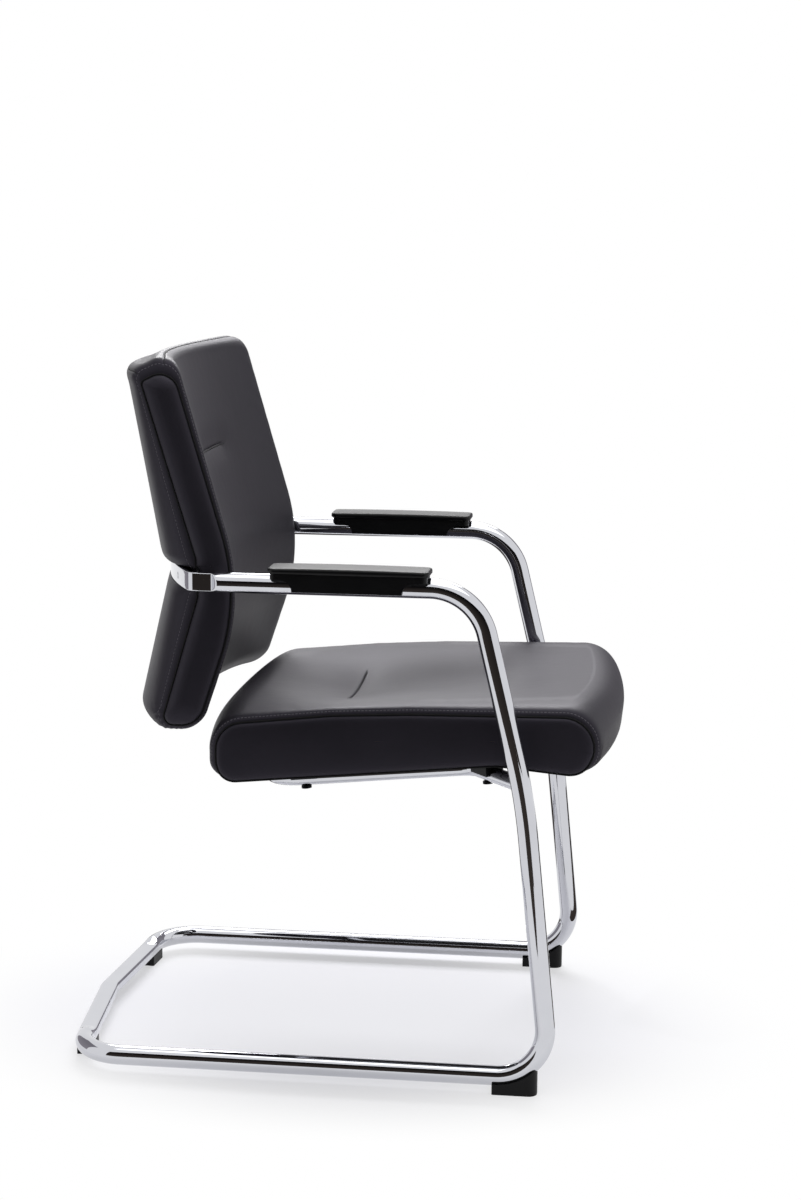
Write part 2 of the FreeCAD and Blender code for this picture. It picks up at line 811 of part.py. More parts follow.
def make_seat_foam():
    """Moulded foam that fills the cover above the board."""
    inset = leather + soft_gap
    insets = [inset] * 5 + [inset + seat_board_thickness + board_gap] * 2
    form, right, left = padded_form(seat_points, seat_radii, seat_half_width - inset, insets)
    return form.cut(seat_tuck(inset))


def seat_layer(low, high, margin, half_width):
    """Sheet along the seat's underside between two depths."""
    outline = seat_points(0.0)
    lines = []
    for depth in (low, high):
        moved = offset_outline(outline, [margin] + [0.0] * 3 + [margin] + [depth] * 2)
        lines.append([moved[5], moved[6], moved[0]])
    corners = lines[0] + lines[1][::-1]
    return block([V(p.x, -half_width, p.z) for p in corners], V(0, 2 * half_width, 0))


def make_seat_cover():
    """Leather cover, open below where the under cover lies."""
    window = seat_layer(-leather, leather + soft_gap / 2, seat_hem, seat_half_width - seat_hem)
    return seat_outside.cut([seat_solid(leather), window] + seat_bolt_holes)


def make_seat_board():
    """Moulded plywood, folded near its front edge."""
    low = leather + board_gap
    margin = seat_board_margin
    board = seat_layer(low, low + seat_board_thickness, margin + seat_front_bulge, seat_half_width - margin)
    return board.cut(seat_bolt_holes + tee_seats)


def make_under_cover():
    """Woven sheet that closes the seat from below."""
    margin = seat_hem + soft_gap
    return seat_layer(0.0, leather, margin, seat_half_width - margin).cut(seat_bolt_holes)


# Backrest cushion and board
def back_points(y):
    """Corner points of the backrest's side outline, clockwise from the lumbar point."""
    side = (y / back_half_width) ** 2
    hollow = back_hollow * (1 - side)
    crown = back_top_crown * (1 - side ** 3)
    bow = 1 - back_bow_share * side - (1 - back_bow_share) * side ** 2
    waist = band_inner_x(y) + waist_gap(y)

    def rear(edge_x, middle_x):
        return edge_x + (middle_x - edge_x) * bow

    return [
        V(back_lumbar_x - hollow, y, arm_z - back_lumbar_drop),
        V(back_bottom_front_x - hollow, y, arm_z - back_bottom_drop),
        V(rear(back_bottom_rear_edge_x, back_bottom_rear_middle_x), y, arm_z - back_bottom_drop),
        V(rear(back_lower_bulge_edge_x, back_lower_bulge_middle_x), y, arm_z - back_bulge_rise),
        V(waist, y, arm_z - back_waist_half),
        V(waist, y, arm_z + back_waist_half),
        V(rear(back_upper_bulge_edge_x, back_upper_bulge_middle_x), y, arm_z + back_bulge_rise),
        V(rear(back_top_rear_edge_x, back_top_rear_middle_x), y, arm_z + back_top_rear_rise + crown),
        V(back_top_front_x - hollow, y, arm_z + back_top_rise + crown),
    ]


back_radii = [back_lumbar_radius, back_bottom_front_radius, back_bottom_rear_radius, back_bulge_radius,
              back_waist_radius, back_waist_radius, back_bulge_radius, back_top_rear_radius,
              back_top_front_radius]


def back_tuck(drop):
    """Boat-shaped cut for the sewn tuck across the backrest."""
    wires = []
    z = arm_z + back_tuck_rise
    for share in (-1, 0, 1):
        y = share * back_tuck_half_length
        lumbar, top = back_points(y)[0], back_points(y)[-1]
        face = lumbar.x + (top.x - lumbar.x) * (z - lumbar.z) / (top.z - lumbar.z)
        keel = face - drop - (tuck_depth if share == 0 else 0.0)
        out = face + tuck_width
        corners = [V(out, y, z - tuck_width / 2), V(out, y, z + tuck_width / 2), V(keel, y, z)]
        wires.append(Part.makePolygon(corners + [corners[0]]))
    return Part.makeLoft(wires, True, True)


def back_solid(inset):
    """Backrest form inside an even skin."""
    return cushion(back_points, back_radii, back_half_width, inset).cut(back_tuck(inset))


def make_back_foam():
    """Moulded foam that fills the cover in front of the shell."""
    inset = leather + soft_gap
    insets = [inset] * 2 + [inset + back_shell_thickness + board_gap] * 5 + [inset] * 2
    form, right, left = padded_form(back_points, back_radii, back_half_width - inset, insets)
    return form.cut(back_tuck(inset))


def make_back_shell():
    """Moulded shell that follows the back of the cushion."""
    low_z = arm_z - back_bottom_drop + back_shell_margin
    top_z = arm_z + back_top_rear_rise - back_shell_margin
    half = back_half_width - back_shell_margin

    def cross(a, b, z):
        return a + (b - a) * ((z - a.z) / (b.z - a.z))

    wires = []
    for share in loft_shares:
        outline = back_points(share * half)
        faces = []
        rounds = []
        for depth in (leather + board_gap, leather + board_gap + back_shell_thickness):
            insets = [0.0] * 2 + [depth] * 5 + [0.0] * 2
            moved = offset_outline(outline, insets)
            low = cross(moved[2], moved[3], low_z)
            top = cross(moved[6], moved[7], top_z)
            faces.append([low] + moved[3:7] + [top])
            bends = inset_radii(outline, back_radii, insets)[3:7]
            rounds.append([back_shell_edge_radius] + bends + [back_shell_edge_radius])
        wires.append(rounded_outline(faces[0] + faces[1][::-1], rounds[0] + rounds[1][::-1]))
    return Part.makeLoft(wires, True, False).cut(insert_holes + band_screw_holes)


# Arm pads
pad_low_z = arm_z + pad_base_bottom
pad_split_z = pad_low_z + pad_base_height
pad_middle_x = (pad_rear_x + pad_front_x) / 2
pad_screw_points = [
    V(pad_middle_x + way * pad_screw_spacing / 2, -frame_half_width, arm_z) for way in (-1, 1)]
pad_screw_tip_z = pad_split_z - pad_screw_tip_cover
pad_screw_seat = tube_radius - tube_wall - pad_screw_head_drop


def pad_plan(inset, z):
    """Rounded plan outline of an arm pad."""
    half = pad_width / 2 - inset
    rear, front = pad_rear_x + inset, pad_front_x - inset
    y = -frame_half_width
    corners = [V(rear, y - half, z), V(front, y - half, z), V(front, y + half, z), V(rear, y + half, z)]
    return rounded_outline(corners, [pad_corner_radius - inset] * 4)


def make_pad_top():
    """Skinned foam top of an arm pad."""
    slab = Part.Face(pad_plan(0.0, pad_split_z)).extrude(V(0, 0, pad_top_height))
    rim = [e for e in slab.Edges if abs(e.BoundBox.ZMin - pad_split_z - pad_top_height) < slip_fit]
    return slab.makeFillet(pad_edge_radius, rim)


def make_pad_base():
    """Moulded base of an arm pad that straddles the arm tube."""
    plate = Part.Face(pad_plan(pad_base_setback, pad_low_z)).extrude(V(0, 0, pad_base_height))
    y = -frame_half_width - pad_width / 2 + pad_base_setback
    low = arm_z - pad_skirt_drop
    scoop = pad_low_z - low
    rear, front = pad_skirt_rear_x, pad_skirt_front_x
    slant = scoop * math.sqrt(0.5)
    rear_top, front_top = V(rear - scoop, y, pad_low_z), V(front + scoop, y, pad_low_z)
    rear_low, front_low = V(rear, y, low), V(front, y, low)
    edges = [
        Part.Arc(rear_top, V(rear - scoop + slant, y, low + slant), rear_low).toShape(),
        Part.LineSegment(rear_low, front_low).toShape(),
        Part.Arc(front_low, V(front + scoop - slant, y, low + slant), front_top).toShape(),
        Part.LineSegment(front_top, rear_top).toShape(),
    ]
    skirt = Part.Face(Part.Wire(edges)).extrude(V(0, pad_width - 2 * pad_base_setback, 0))
    seat = bent_rod(arm_route, arm_radii, tube_radius + seat_on_tube)
    holes = [pad_screw_hole(point, slip_fit) for point in pad_screw_points]
    return plate.fuse(skirt).removeSplitter().cut([seat] + holes)


def make_pad_screw(point):
    """Screw inside the arm tube, through its upper wall into the pad base."""
    seat = point + V(0, 0, pad_screw_seat)
    head = rod(seat - V(0, 0, pad_screw_head_height), V(0, 0, 1), pad_screw_head_diameter / 2,
               pad_screw_head_height)
    shank = rod(seat, V(0, 0, 1), pad_screw_diameter / 2, pad_screw_tip_z - seat.z)
    return head.fuse(shank).removeSplitter()


def pad_screw_hole(point, spare):
    seat = point + V(0, 0, pad_screw_seat)
    return rod(seat, V(0, 0, 1), pad_screw_diameter / 2 + spare, pad_screw_tip_z - seat.z)


def pad_screw_access(point):
    """Hole in the lower wall through which a pad screw goes in."""
    radius = pad_screw_head_diameter / 2 + hole_clearance
    return rod(point, V(0, 0, -1), radius, tube_diameter)


# The pieces, each under the name of its node
crossbar_outside = crossbar_solid(0.0)
seat_outside = seat_solid(0.0)
back_outside = back_solid(0.0)

screw_points = foot_screw_points()
foot_holes = [foot_screw_hole(point) for point in screw_points]
foot_holes += [mirrored(hole) for hole in foot_holes]
seat_bolts = seat_bolt_points()
seat_bolt_holes = [seat_bolt_hole(point) for point, along in seat_bolts]
seat_bolt_holes += [mirrored(hole) for hole in seat_bolt_holes]
tee_seats = [tee_nut_solids(point, slip_fit) for point, along in seat_bolts]
tee_seats += [mirrored(seat) for seat in tee_seats]
band_screw_ys = [-band_screw_outer_y, -band_screw_inner_y, band_screw_inner_y, band_screw_outer_y]
band_screw_holes = [band_screw_hole(y) for y in band_screw_ys]
insert_holes = [insert_hole(y) for y in band_screw_ys]
pad_holes = [pad_screw_hole(point, hole_clearance) for point in pad_screw_points]
pad_holes += [pad_screw_access(point) for point in pad_screw_points]

runner = make_runner().cut(foot_holes)
arm_tube = make_arm_tube().cut(pad_holes)
front_foot = make_front_foot().cut(foot_holes)
rear_foot = make_rear_foot().cut(foot_holes)
pad_top = make_pad_top()
pad_base = make_pad_base()

parts["floor_crossbar"] = crossbar_outside.cut([crossbar_solid(tube_wall)] + foot_holes)
parts["runner_sleeves"] = both_sides([make_sleeve()])
parts["foot_screws"] = both_sides([make_foot_screw(point) for point in screw_points])
for side, place in (("right", lambda shape: shape), ("left", mirrored)):
    parts[side + "_runner"] = place(runner)
    parts[side + "_front_foot"] = place(front_foot)
    parts[side + "_rear_foot"] = place(rear_foot)
    parts[side + "_arm_tube"] = place(arm_tube)
    parts[side + "_arm_pad"] = place(pad_top)
    parts[side + "_pad_base"] = place(pad_base)
parts["arm_pad_screws"] = both_sides([make_pad_screw(point) for point in pad_screw_points])
parts["seat_hoop"] = make_hoop().cut(seat_bolt_holes)
parts["seat_saddles"] = both_sides([make_saddle(point, along) for point, along in seat_bolts])
parts["seat_bolts"] = both_sides([make_seat_bolt(point) for point, along in seat_bolts])
parts["seat_tee_nuts"] = both_sides([make_tee_nut(point) for point, along in seat_bolts])
parts["seat_board"] = make_seat_board()
parts["seat_under_cover"] = make_under_cover()
parts["seat_foam"] = make_seat_foam()
parts["seat_cover"] = make_seat_cover()
parts["back_band"] = make_band().cut(band_screw_holes)
parts["band_screws"] = Part.makeCompound([make_band_screw(y) for y in band_screw_ys])
parts["band_spacers"] = Part.makeCompound([make_band_spacer(y) for y in band_screw_ys])
parts["back_inserts"] = Part.makeCompound([make_insert(y) for y in band_screw_ys])
parts["back_shell"] = make_back_shell()
parts["back_foam"] = make_back_foam()
parts["back_cover"] = back_outside.cut([back_solid(leather)] + band_screw_holes)

os.makedirs("parts", exist_ok=True)
for name, shape in parts.items():
    shape.exportStep("parts/" + name + ".step")
    print(name, shape.isValid(), len(shape.Solids), round(shape.Volume), shape.BoundBox)
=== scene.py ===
import math

import bmesh
import bpy
import numpy as np
from mathutils import Matrix, Vector


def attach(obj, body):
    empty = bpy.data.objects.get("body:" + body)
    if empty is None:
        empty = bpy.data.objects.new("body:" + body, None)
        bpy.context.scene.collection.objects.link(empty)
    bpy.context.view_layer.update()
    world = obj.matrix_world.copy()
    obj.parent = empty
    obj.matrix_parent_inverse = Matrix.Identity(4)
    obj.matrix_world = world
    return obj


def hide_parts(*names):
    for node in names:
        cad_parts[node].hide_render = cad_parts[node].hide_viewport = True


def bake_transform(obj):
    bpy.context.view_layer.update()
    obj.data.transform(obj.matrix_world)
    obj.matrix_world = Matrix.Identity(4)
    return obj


# Looks of a cantilever conference chair: chromed tube, padded leather, moulded pads.
# Shapes are worked out in millimetres in the chair's own frame, +X forward,
# +Y to the sitter's left, +Z up, and go into the meshes in metres.

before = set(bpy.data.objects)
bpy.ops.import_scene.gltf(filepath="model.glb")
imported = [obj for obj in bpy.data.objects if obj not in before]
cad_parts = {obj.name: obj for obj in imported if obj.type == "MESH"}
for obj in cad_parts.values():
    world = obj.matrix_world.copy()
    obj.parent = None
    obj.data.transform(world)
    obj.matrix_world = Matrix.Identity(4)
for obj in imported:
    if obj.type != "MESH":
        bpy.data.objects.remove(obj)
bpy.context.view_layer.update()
MM = 0.001
sides = (("right", -1), ("left", 1))

# Frame tube
tube_radius = 12.5
tube_facets = 64
tube_step = 6.0
half_width = 248.0
runner_z = 20.5
joint_x = -225.0
front_corner_x = 280.0
front_bend = 60.0
lower_lean = math.tan(math.radians(5.9))
upper_lean = math.tan(math.radians(13.6))
kink_z = 376.0
kink_bend = 800.0
arm_z = 632.0
arm_bend = 72.0
kink_x = front_corner_x - lower_lean * (kink_z - runner_z)
arm_corner_x = kink_x - upper_lean * (arm_z - kink_z)

# Rear floor bar
bar_x = -340.6
bar_vee = math.tan(math.radians(5.0))
bar_width = 24.5
bar_height = 14.0
bar_edge = 4.0
bar_bend = 60.0
bar_press = 25.0
bar_step = 2.5
bar_ring_steps = 8
bar_side_deg = 14.0
bar_top_deg = 44.0

# Band behind the backrest
band_height = 23.0
band_thickness = 6.0
band_edge = 1.5
band_rear_x = -237.0
band_sagitta = 64.0
band_corner = 12.0
band_run = 3.0
band_corner_points = 24
band_arc_points = 121
band_ring_steps = 6
band_radius = (band_sagitta ** 2 + half_width ** 2) / (2 * band_sagitta)
band_centre_x = band_rear_x + band_radius
band_middle = band_radius - band_thickness / 2
band_bend_x = band_centre_x - math.sqrt(
    (band_middle - band_corner) ** 2 - (half_width - band_corner) ** 2)
band_start_x = band_bend_x + band_run

# Pressed rear end of each arm: lengths from its tip, half the thickness between the flats,
# and the flats' half opening where they meet the round tube
arm_flat = 17.0
arm_press = 28.0
arm_fine = 1.5 * arm_press
arm_fine_points = 40
arm_press_half = 4.0
arm_press_open = 1.35 * tube_radius
arm_press_power = 12

# Hoop under the seat
hoop_radius = 10.0
hoop_facets = 48
hoop_step = 8.0
hoop_z = 393.0
hoop_bend_x = 172.0
hoop_rear_x = -90.0
hoop_half = 168.0
hoop_drop = 26.0
hoop_slope = hoop_drop / (hoop_bend_x - hoop_rear_x)
hoop_front_bend = 30.0
hoop_rear_bend = 45.0
hoop_gap = 3.0

# Seat: a rise is a height above the base at the side seams, a crown what the middle adds
seat_half = 223.0
seat_base_z = hoop_z + (hoop_radius + hoop_gap) * math.sqrt(1 + hoop_slope ** 2)
seat_fold_x = 206.0
seat_front_fall = 0.09
seat_dish = 16.0
seat_roll = 20.0
seat_rear_x = -147.0
seat_rear_bulge = 30.0
seat_rear_rise = 44.0
seat_rear_crown = 18.0
seat_tuck_x = 1.0
seat_tuck_rise = 61.0
seat_tuck_reach = 92.0
seat_tuck_lip = 1.0
seat_crest_x = 100.0
seat_crest_rise = 66.0
seat_crest_crown = 2.5
seat_front_x = 357.6
seat_front_sweep = 24.0
seat_front_rise = 69.5
seat_front_crown = 11.5
seat_front_under = 10.0
seat_panel_swell = 2.5

# Seat corner radii from the rear bottom corner round over the top, and what the seams add
seat_corner_radii = (26.0, 60.0, 260.0, 500.0, 40.0, 24.0, 30.0)
seat_seam_radii = (0.0, -22.0, 0.0, 0.0, 1.0, 9.0, 0.0)

# Leather of the seat is filled from its underside up, and the top is where the tuck shows
seat_filled_over = 22.0
seat_top_from = 35.0
seat_top_over = 20.0
seat_stitch_from = 12.0

# Line down the middle of each seat side panel, x and z
seat_spine = np.array([(-95.0, 424.0), (60.0, 436.0), (200.0, 441.0), (275.0, 440.0)])

# Backrest: heights of its corners are from the arms, a bow is what the rear adds in the middle
back_half = 222.0
back_hollow = 36.0
back_lumbar_x = -109.5
back_lumbar_z = -23.0
back_low_z = -189.0
back_low_front_x = -165.0
back_low_rear_x = -217.0
back_low_bow = 60.0
back_top_rear_x = -238.0
back_top_rear_z = 241.0
back_top_bow = 49.0
back_top_front_x = -195.0
back_top_front_z = 263.0
back_top_crown = 10.0
back_bow_round = 0.65
back_front_gain = 3.0
back_tuck_z = arm_z + 138.0
back_tuck_reach = 70.0
back_tuck_lip = 7.0
back_panel_swell = 5.5

# Pocket for the band in the backrest's rear, the lips of leather below and above it, and the
# height from the arms within which the leather has no filled edge
pocket_half = 12.0
pocket_clear = 4.0
pocket_end_clear = 12.0
lower_lip_out = 1.0
lower_lip_end = 22.0
lower_lip_z = -13.0
upper_lip_out = 7.0
upper_lip_end = 26.0
upper_lip_z = 12.6
upper_lip_swell = 6.0
band_calm_half = 25.2
band_calm_over = 14.0

# Backrest corner radii from the lumbar point down and round, and what the seams add to the last
back_corner_radii = (260.0, 34.0, 14.0, 2.0, 1.5, 1.5, 5.0, 9.0, 15.0)
back_seam_radius = 11.0

# Line down the middle of each backrest side panel, x and z
back_spine = np.array([(-186.0, 478.0), (-160.0, 560.0), (-143.0, 632.0), (-165.0, 715.0), (-207.0, 862.0)])

# Lining under the seat
lining_rear_x = -128.0
lining_front_x = 306.0
lining_half = 183.0
lining_drop = 0.8

# Arm pads
pad_rear_x = -71.0
pad_front_x = 126.0
pad_half = 23.5
pad_corner = 9.0
pad_low_z = arm_z + 16.0
pad_thick = 6.0
pad_edge = 2.5
pad_crown = 0.9

# Seams: depth of the valley, and distances from it at which a wrap and a panel have points
seam_depth = 3.0
valley_width = 0.7
wrap_places = np.array([0, 1.6, 1.9, 2.3, 2.8, 3.4, 4.0, 4.7, 5.6, 7.0, 9.0, 11.5, 14.5, 18.0, 22.0, 27.0])
panel_places = np.array([0, 0.5, 1.1, 2.0, 3.2, 5.0, 7.5, 11.0, 16.0])
row_step = 5.0
# Dark beads painted into the seam valleys and crease bottoms as their shade: their radius and how far they
# sit in
shade_radius = 1.1
seam_shade_sink = 0.8 * shade_radius
crease_shade_radius = 0.8 * shade_radius
crease_shade_lift = 0.5 * shade_radius
crease_angle = math.radians(48.0)

# Stitches
stitch_from_seam = 4.0
stitch_pitch = 4.6
stitch_length = 3.2
stitch_radius = 0.6
stitch_dip = 0.5
stitch_dip_width = 0.8

# Filled leather beside a seam: height, and distances over which it rises and fades
puff_height = 6.0
puff_rise = 4.5
puff_fade = 50.0
panel_height = 2.5
panel_rise = 3.0
pucker_pitch = 33.0
pucker_height = 0.12
pucker_rise = 5.0
pucker_fade = 24.0
pucker_second = 0.6
pucker_phases = (0.6, 2.1)
gather_pitch = 6.5
gather_height = 1.6
gather_fade = 9.0
gather_top_z = 480.0
gather_over = 16.0
gather_clear = 2.0
gather_lean = 0.4
gather_lean_gain = 2.0

# Sewn tucks and the two seams over the backrest's top
tuck_depth = 3.4
tuck_sharp = 1.0
tuck_end = 16.0
hollow_depth = 3.0
hollow_half = 20.0
hollow_past = 40.0
hollow_end = 70.0
groove_depth = 1.3
groove_half = 1.2
groove_clear = 4.0
ridge_height = 0.7
ridge_away = 9.0
ridge_half = 6.0

# Points of an outline: on each corner's arc, on each run, and from one corner to the next
arc_points = 41
run_points = 41
arc_end = arc_points - 1
corner_step = arc_points + run_points - 2

# Share of the arc of its corner at which each top seam lies
top_rear_share = 0.5
top_front_share = 0.35


def unit(v):
    """Vectors along the last axis divided by their lengths."""
    return v / np.linalg.norm(v, axis=-1, keepdims=True)


def smooth(t):
    """Smooth step from 0 to 1."""
    t = np.clip(t, 0.0, 1.0)
    return t * t * (3 - 2 * t)


def corner_arc(before, point, after, radius, share):
    """Points on the arc that rounds a corner: centre plus the two end arms, each weighted
    by the sine of the angle that is left to it."""
    back, onward = unit(before - point), unit(after - point)
    half = np.arccos(np.clip(np.sum(back * onward, -1, keepdims=True), -1, 1)) / 2
    reach = radius / np.tan(half)
    centre = point + unit(back + onward) * radius / np.sin(half)
    first, last = point + back * reach - centre, point + onward * reach - centre
    turn = np.pi - 2 * half
    t = share[:, None]
    arms = np.sin((1 - t) * turn[..., None, :]) * first[..., None, :]
    arms = arms + np.sin(t * turn[..., None, :]) * last[..., None, :]
    return centre[..., None, :] + arms / np.sin(turn[..., None, :])


def straight(start, end, spacing):
    """Evenly spaced points on a straight run."""
    count = max(1, int(np.linalg.norm(end - start) / spacing))
    return start + (end - start) * np.linspace(0, 1, count + 1)[:, None]


def rounded_route(corners, radii, spacing):
    """Open line of straight runs and tangent arcs, with a point about every spacing or every
    two and a half degrees."""
    corners = np.array(corners, float)
    pieces = [corners[:1]]
    for i, radius in enumerate(radii, start=1):
        before, point, after = corners[i - 1:i + 2]
        turn = np.arccos(np.clip(unit(point - before) @ unit(after - point), -1, 1))
        count = max(4, int(math.degrees(turn) / 2.5), int(turn * radius / spacing))
        arc = corner_arc(before, point, after, radius, np.linspace(0, 1, count + 1))
        pieces.append(straight(pieces[-1][-1], arc[0], spacing)[1:-1])
        pieces.append(arc)
    pieces.append(straight(pieces[-1][-1], corners[-1], spacing)[1:])
    return np.concatenate(pieces)


def travelled(route):
    """Distance along a line of points."""
    steps = np.linalg.norm(np.diff(route, axis=0), axis=1)
    return np.concatenate([[0.0], np.cumsum(steps)])


def swept(route, sections, reference):
    """A flat section carried along a line: each route point plus the section's two
    coordinates times the two directions square to the line there."""
    tangent = unit(np.gradient(route, travelled(route), axis=0))
    across = unit(np.cross(np.broadcast_to(reference, route.shape), tangent))
    other = np.cross(tangent, across)
    return (route[:, None] + sections[..., :1] * across[:, None] + sections[..., 1:] * other[:, None])


def circle(radius, count):
    """Points round a circle, as a section."""
    a = np.linspace(0, 2 * np.pi, count, endpoint=False)
    return radius * np.stack([np.cos(a), np.sin(a)], -1)


def pressed_ring(half_w, half_h, edge, steps):
    """Rounded rectangle as a section: four corner arcs and the four straight sides between."""
    t = np.linspace(0, 1, steps, endpoint=False)[:, None]
    signs = np.array([[1, 1], [-1, 1], [-1, -1], [1, -1]])
    cores = signs * np.array([half_w - edge, half_h - edge])
    pieces = []
    for i in range(4):
        a = np.pi / 2 * (i + t)
        pieces.append(cores[i] + edge * np.hstack([np.cos(a), np.sin(a)]))
        last = math.pi / 2 * (i + 1)
        end = cores[i] + edge * np.array([math.cos(last), math.sin(last)])
        start = cores[(i + 1) % 4] + end - cores[i]
        pieces.append(end + (start - end) * t)
    return np.concatenate(pieces)


def round_ring(radius, side_deg, top_deg, steps):
    """Circle as a section, in eight arcs that match the eight pieces of a pressed ring."""
    t = np.linspace(0, 1, steps, endpoint=False)
    stops = []
    for i in range(4):
        low, high = (side_deg, top_deg) if i % 2 == 0 else (top_deg, side_deg)
        stops += [90 * i + low, 90 * (i + 1) - high]
    stops.append(stops[0] + 360)
    a = np.concatenate([stops[i] + (stops[i + 1] - stops[i]) * t for i in range(8)])
    a = np.radians(a)
    return radius * np.stack([np.cos(a), np.sin(a)], -1)


def quads(rows, columns, first=0, closed=True):
    """Corner numbers of the quads of a grid of points, closed round its columns if asked."""
    i, j = np.meshgrid(np.arange(rows - 1), np.arange(columns if closed else columns - 1), indexing="ij")
    n = (j + 1) % columns
    faces = np.stack([i * columns + j, i * columns + n, (i + 1) * columns + n, (i + 1) * columns + j], -1)
    return first + faces.reshape(-1, 4)


def piece(name, points, faces, material, body=None):
    """Mesh object at the origin from points in millimetres: doubles merged, faces outwards,
    shaded smooth but for edges past the crease angle."""
    mesh = bpy.data.meshes.new(name)
    mesh.from_pydata((np.asarray(points) * MM).tolist(), [], [list(f) for f in faces])
    work = bmesh.new()
    work.from_mesh(mesh)
    bmesh.ops.remove_doubles(work, verts=work.verts, dist=0.00002)
    bmesh.ops.recalc_face_normals(work, faces=work.faces)
    for edge in work.edges:
        edge.smooth = edge.calc_face_angle(0.0) < crease_angle
    work.to_mesh(mesh)
    work.free()
    mesh.polygons.foreach_set("use_smooth", np.ones(len(mesh.polygons), bool))
    mesh.materials.append(material)
    made = bpy.data.objects.new(name, mesh)
    bpy.context.scene.collection.objects.link(made)
    if body:
        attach(made, body)
    return made


def tube_faces(points):
    """Quads of a swept tube, with a flat cap at each end."""
    rows, columns = points.shape[:2]
    faces = quads(rows, columns).tolist()
    faces.append(list(range(columns)))
    faces.append(list(range((rows - 1) * columns, rows * columns)))
    return faces


# Materials
def linear(hex_colour):
    """sRGB hex colour as linear RGBA."""
    parts = [int(hex_colour[i:i + 2], 16) / 255 for i in (1, 3, 5)]
    return tuple(c / 12.92 if c <= 0.04045 else ((c + 0.055) / 1.055) ** 2.4 for c in parts) + (1.0,)


def plug(tree, node, inputs):
    """Links each input that is given a socket and sets any other."""
    for key, value in inputs.items():
        if isinstance(value, bpy.types.NodeSocket):
            tree.links.new(value, node.inputs[key])
        else:
            node.inputs[key].default_value = value


def add(tree, kind, inputs=None, **settings):
    """Adds a node with its settings and inputs."""
    node = tree.nodes.new(kind)
    for key, value in settings.items():
        setattr(node, key, value)
    plug(tree, node, inputs or {})
    return node


def material(name):
    """Node material with its shader, and Object coordinates."""
    made = bpy.data.materials.new(name)
    made.use_nodes = True
    tree = made.node_tree
    return made, tree, tree.nodes["Principled BSDF"], add(tree, "ShaderNodeTexCoord").outputs["Object"]


def per_mm(size):
    """Texture scale for a pattern of a size in millimetres, on coordinates in metres."""
    return 1000.0 / size


def noise(tree, place, size, detail):
    """Cloudy value from 0 to 1 with blots of a size in millimetres."""
    node = add(tree, "ShaderNodeTexNoise", {"Vector": place, "Scale": per_mm(size), "Detail": detail})
    return node.outputs["Fac"]


def tinted(tree, factor, low, high):
    """Colour between two hex colours."""
    node = add(tree, "ShaderNodeMix", {"Factor": factor, "A": linear(low), "B": linear(high)},
               data_type="RGBA", clamp_factor=True)
    return node.outputs["Result"]


def ranged(tree, value, low, high):
    """Value from 0 to 1 carried over to another range."""
    node = add(tree, "ShaderNodeMapRange", {"Value": value, "To Min": low, "To Max": high})
    return node.outputs["Result"]


def bumped(tree, height, strength, distance):
    """Normal of a fine relief, its depth in metres."""
    node = add(tree, "ShaderNodeBump", {"Height": height, "Strength": strength, "Distance": distance})
    return node.outputs["Normal"]


# Bright nickel-chrome plate on steel tube: a mirror with faint wipe marks
def chrome_plate():
    made, tree, shader, place = material("chrome_plate")
    smear = noise(tree, place, 45, 4.0)
    wave = noise(tree, place, 70, 1.0)
    plug(tree, shader, {"Base Color": tinted(tree, smear, "#c6c7cd", "#d3d4d9"), "Metallic": 1.0,
                        "Roughness": ranged(tree, smear, 0.02, 0.075),
                        "Normal": bumped(tree, wave, 0.05, 0.002)})
    return made


# Corrected-grain upholstery leather, dyed black and finished satin: fine pebble,
# soft pull lines, and a slightly violet sheen
def black_leather():
    made, tree, shader, place = material("black_leather")
    cloud = noise(tree, place, 80, 3.0)
    pull = noise(tree, place, 14, 3.0)
    pebble = add(tree, "ShaderNodeTexVoronoi", {"Vector": place, "Scale": per_mm(1.3), "Smoothness": 0.6},
                 feature="SMOOTH_F1")
    grain = add(tree, "ShaderNodeBump", {"Height": pebble.outputs["Distance"], "Strength": 0.10,
                                         "Distance": 0.0003, "Normal": bumped(tree, pull, 0.10, 0.002)})
    plug(tree, shader, {"Base Color": tinted(tree, cloud, "#1d1c20", "#27252a"),
                        "Roughness": ranged(tree, cloud, 0.42, 0.50),
                        "Specular IOR Level": 0.32, "Specular Tint": linear("#dcd4ee"),
                        "Normal": grain.outputs["Normal"]})
    return made


# Black plastics, thread, and the dark beads of painted shade in seams and creases: a faint cloud in
# colour and roughness, and a fine grain of a given relief, drawn at 0.7 mm so that it shows
def grained_black(name, dark, pale, rough_low, rough_high, relief, gloss):
    made, tree, shader, place = material(name)
    cloud = noise(tree, place, 30, 2.0)
    grit = noise(tree, place, 0.7, 2.0)
    plug(tree, shader, {"Base Color": tinted(tree, cloud, dark, pale),
                        "Roughness": ranged(tree, cloud, rough_low, rough_high),
                        "Specular IOR Level": gloss, "Normal": bumped(tree, grit, relief, 0.0002)})
    return made


# Zinc-plated or blackened steel of turned fasteners: fine turning marks, half bright
def fastener_steel(name, dark, pale, rough_low):
    made, tree, shader, place = material(name)
    turned = noise(tree, place, 1.5, 3.0)
    plug(tree, shader, {"Base Color": tinted(tree, turned, dark, pale), "Metallic": 1.0,
                        "Roughness": ranged(tree, turned, rough_low, rough_low + 0.15)})
    return made


# Sawn plywood or spun lining: a streaked or speckled matt colour with a faint relief
def matt_filling(name, dark, pale, stretch):
    made, tree, shader, place = material(name)
    turn = add(tree, "ShaderNodeMapping", {"Vector": place, "Scale": stretch})
    fleck = noise(tree, turn.outputs["Vector"], 2.0, 3.0)
    plug(tree, shader, {"Base Color": tinted(tree, fleck, dark, pale), "Roughness": 0.85,
                        "Normal": bumped(tree, fleck, 0.2, 0.0004)})
    return made


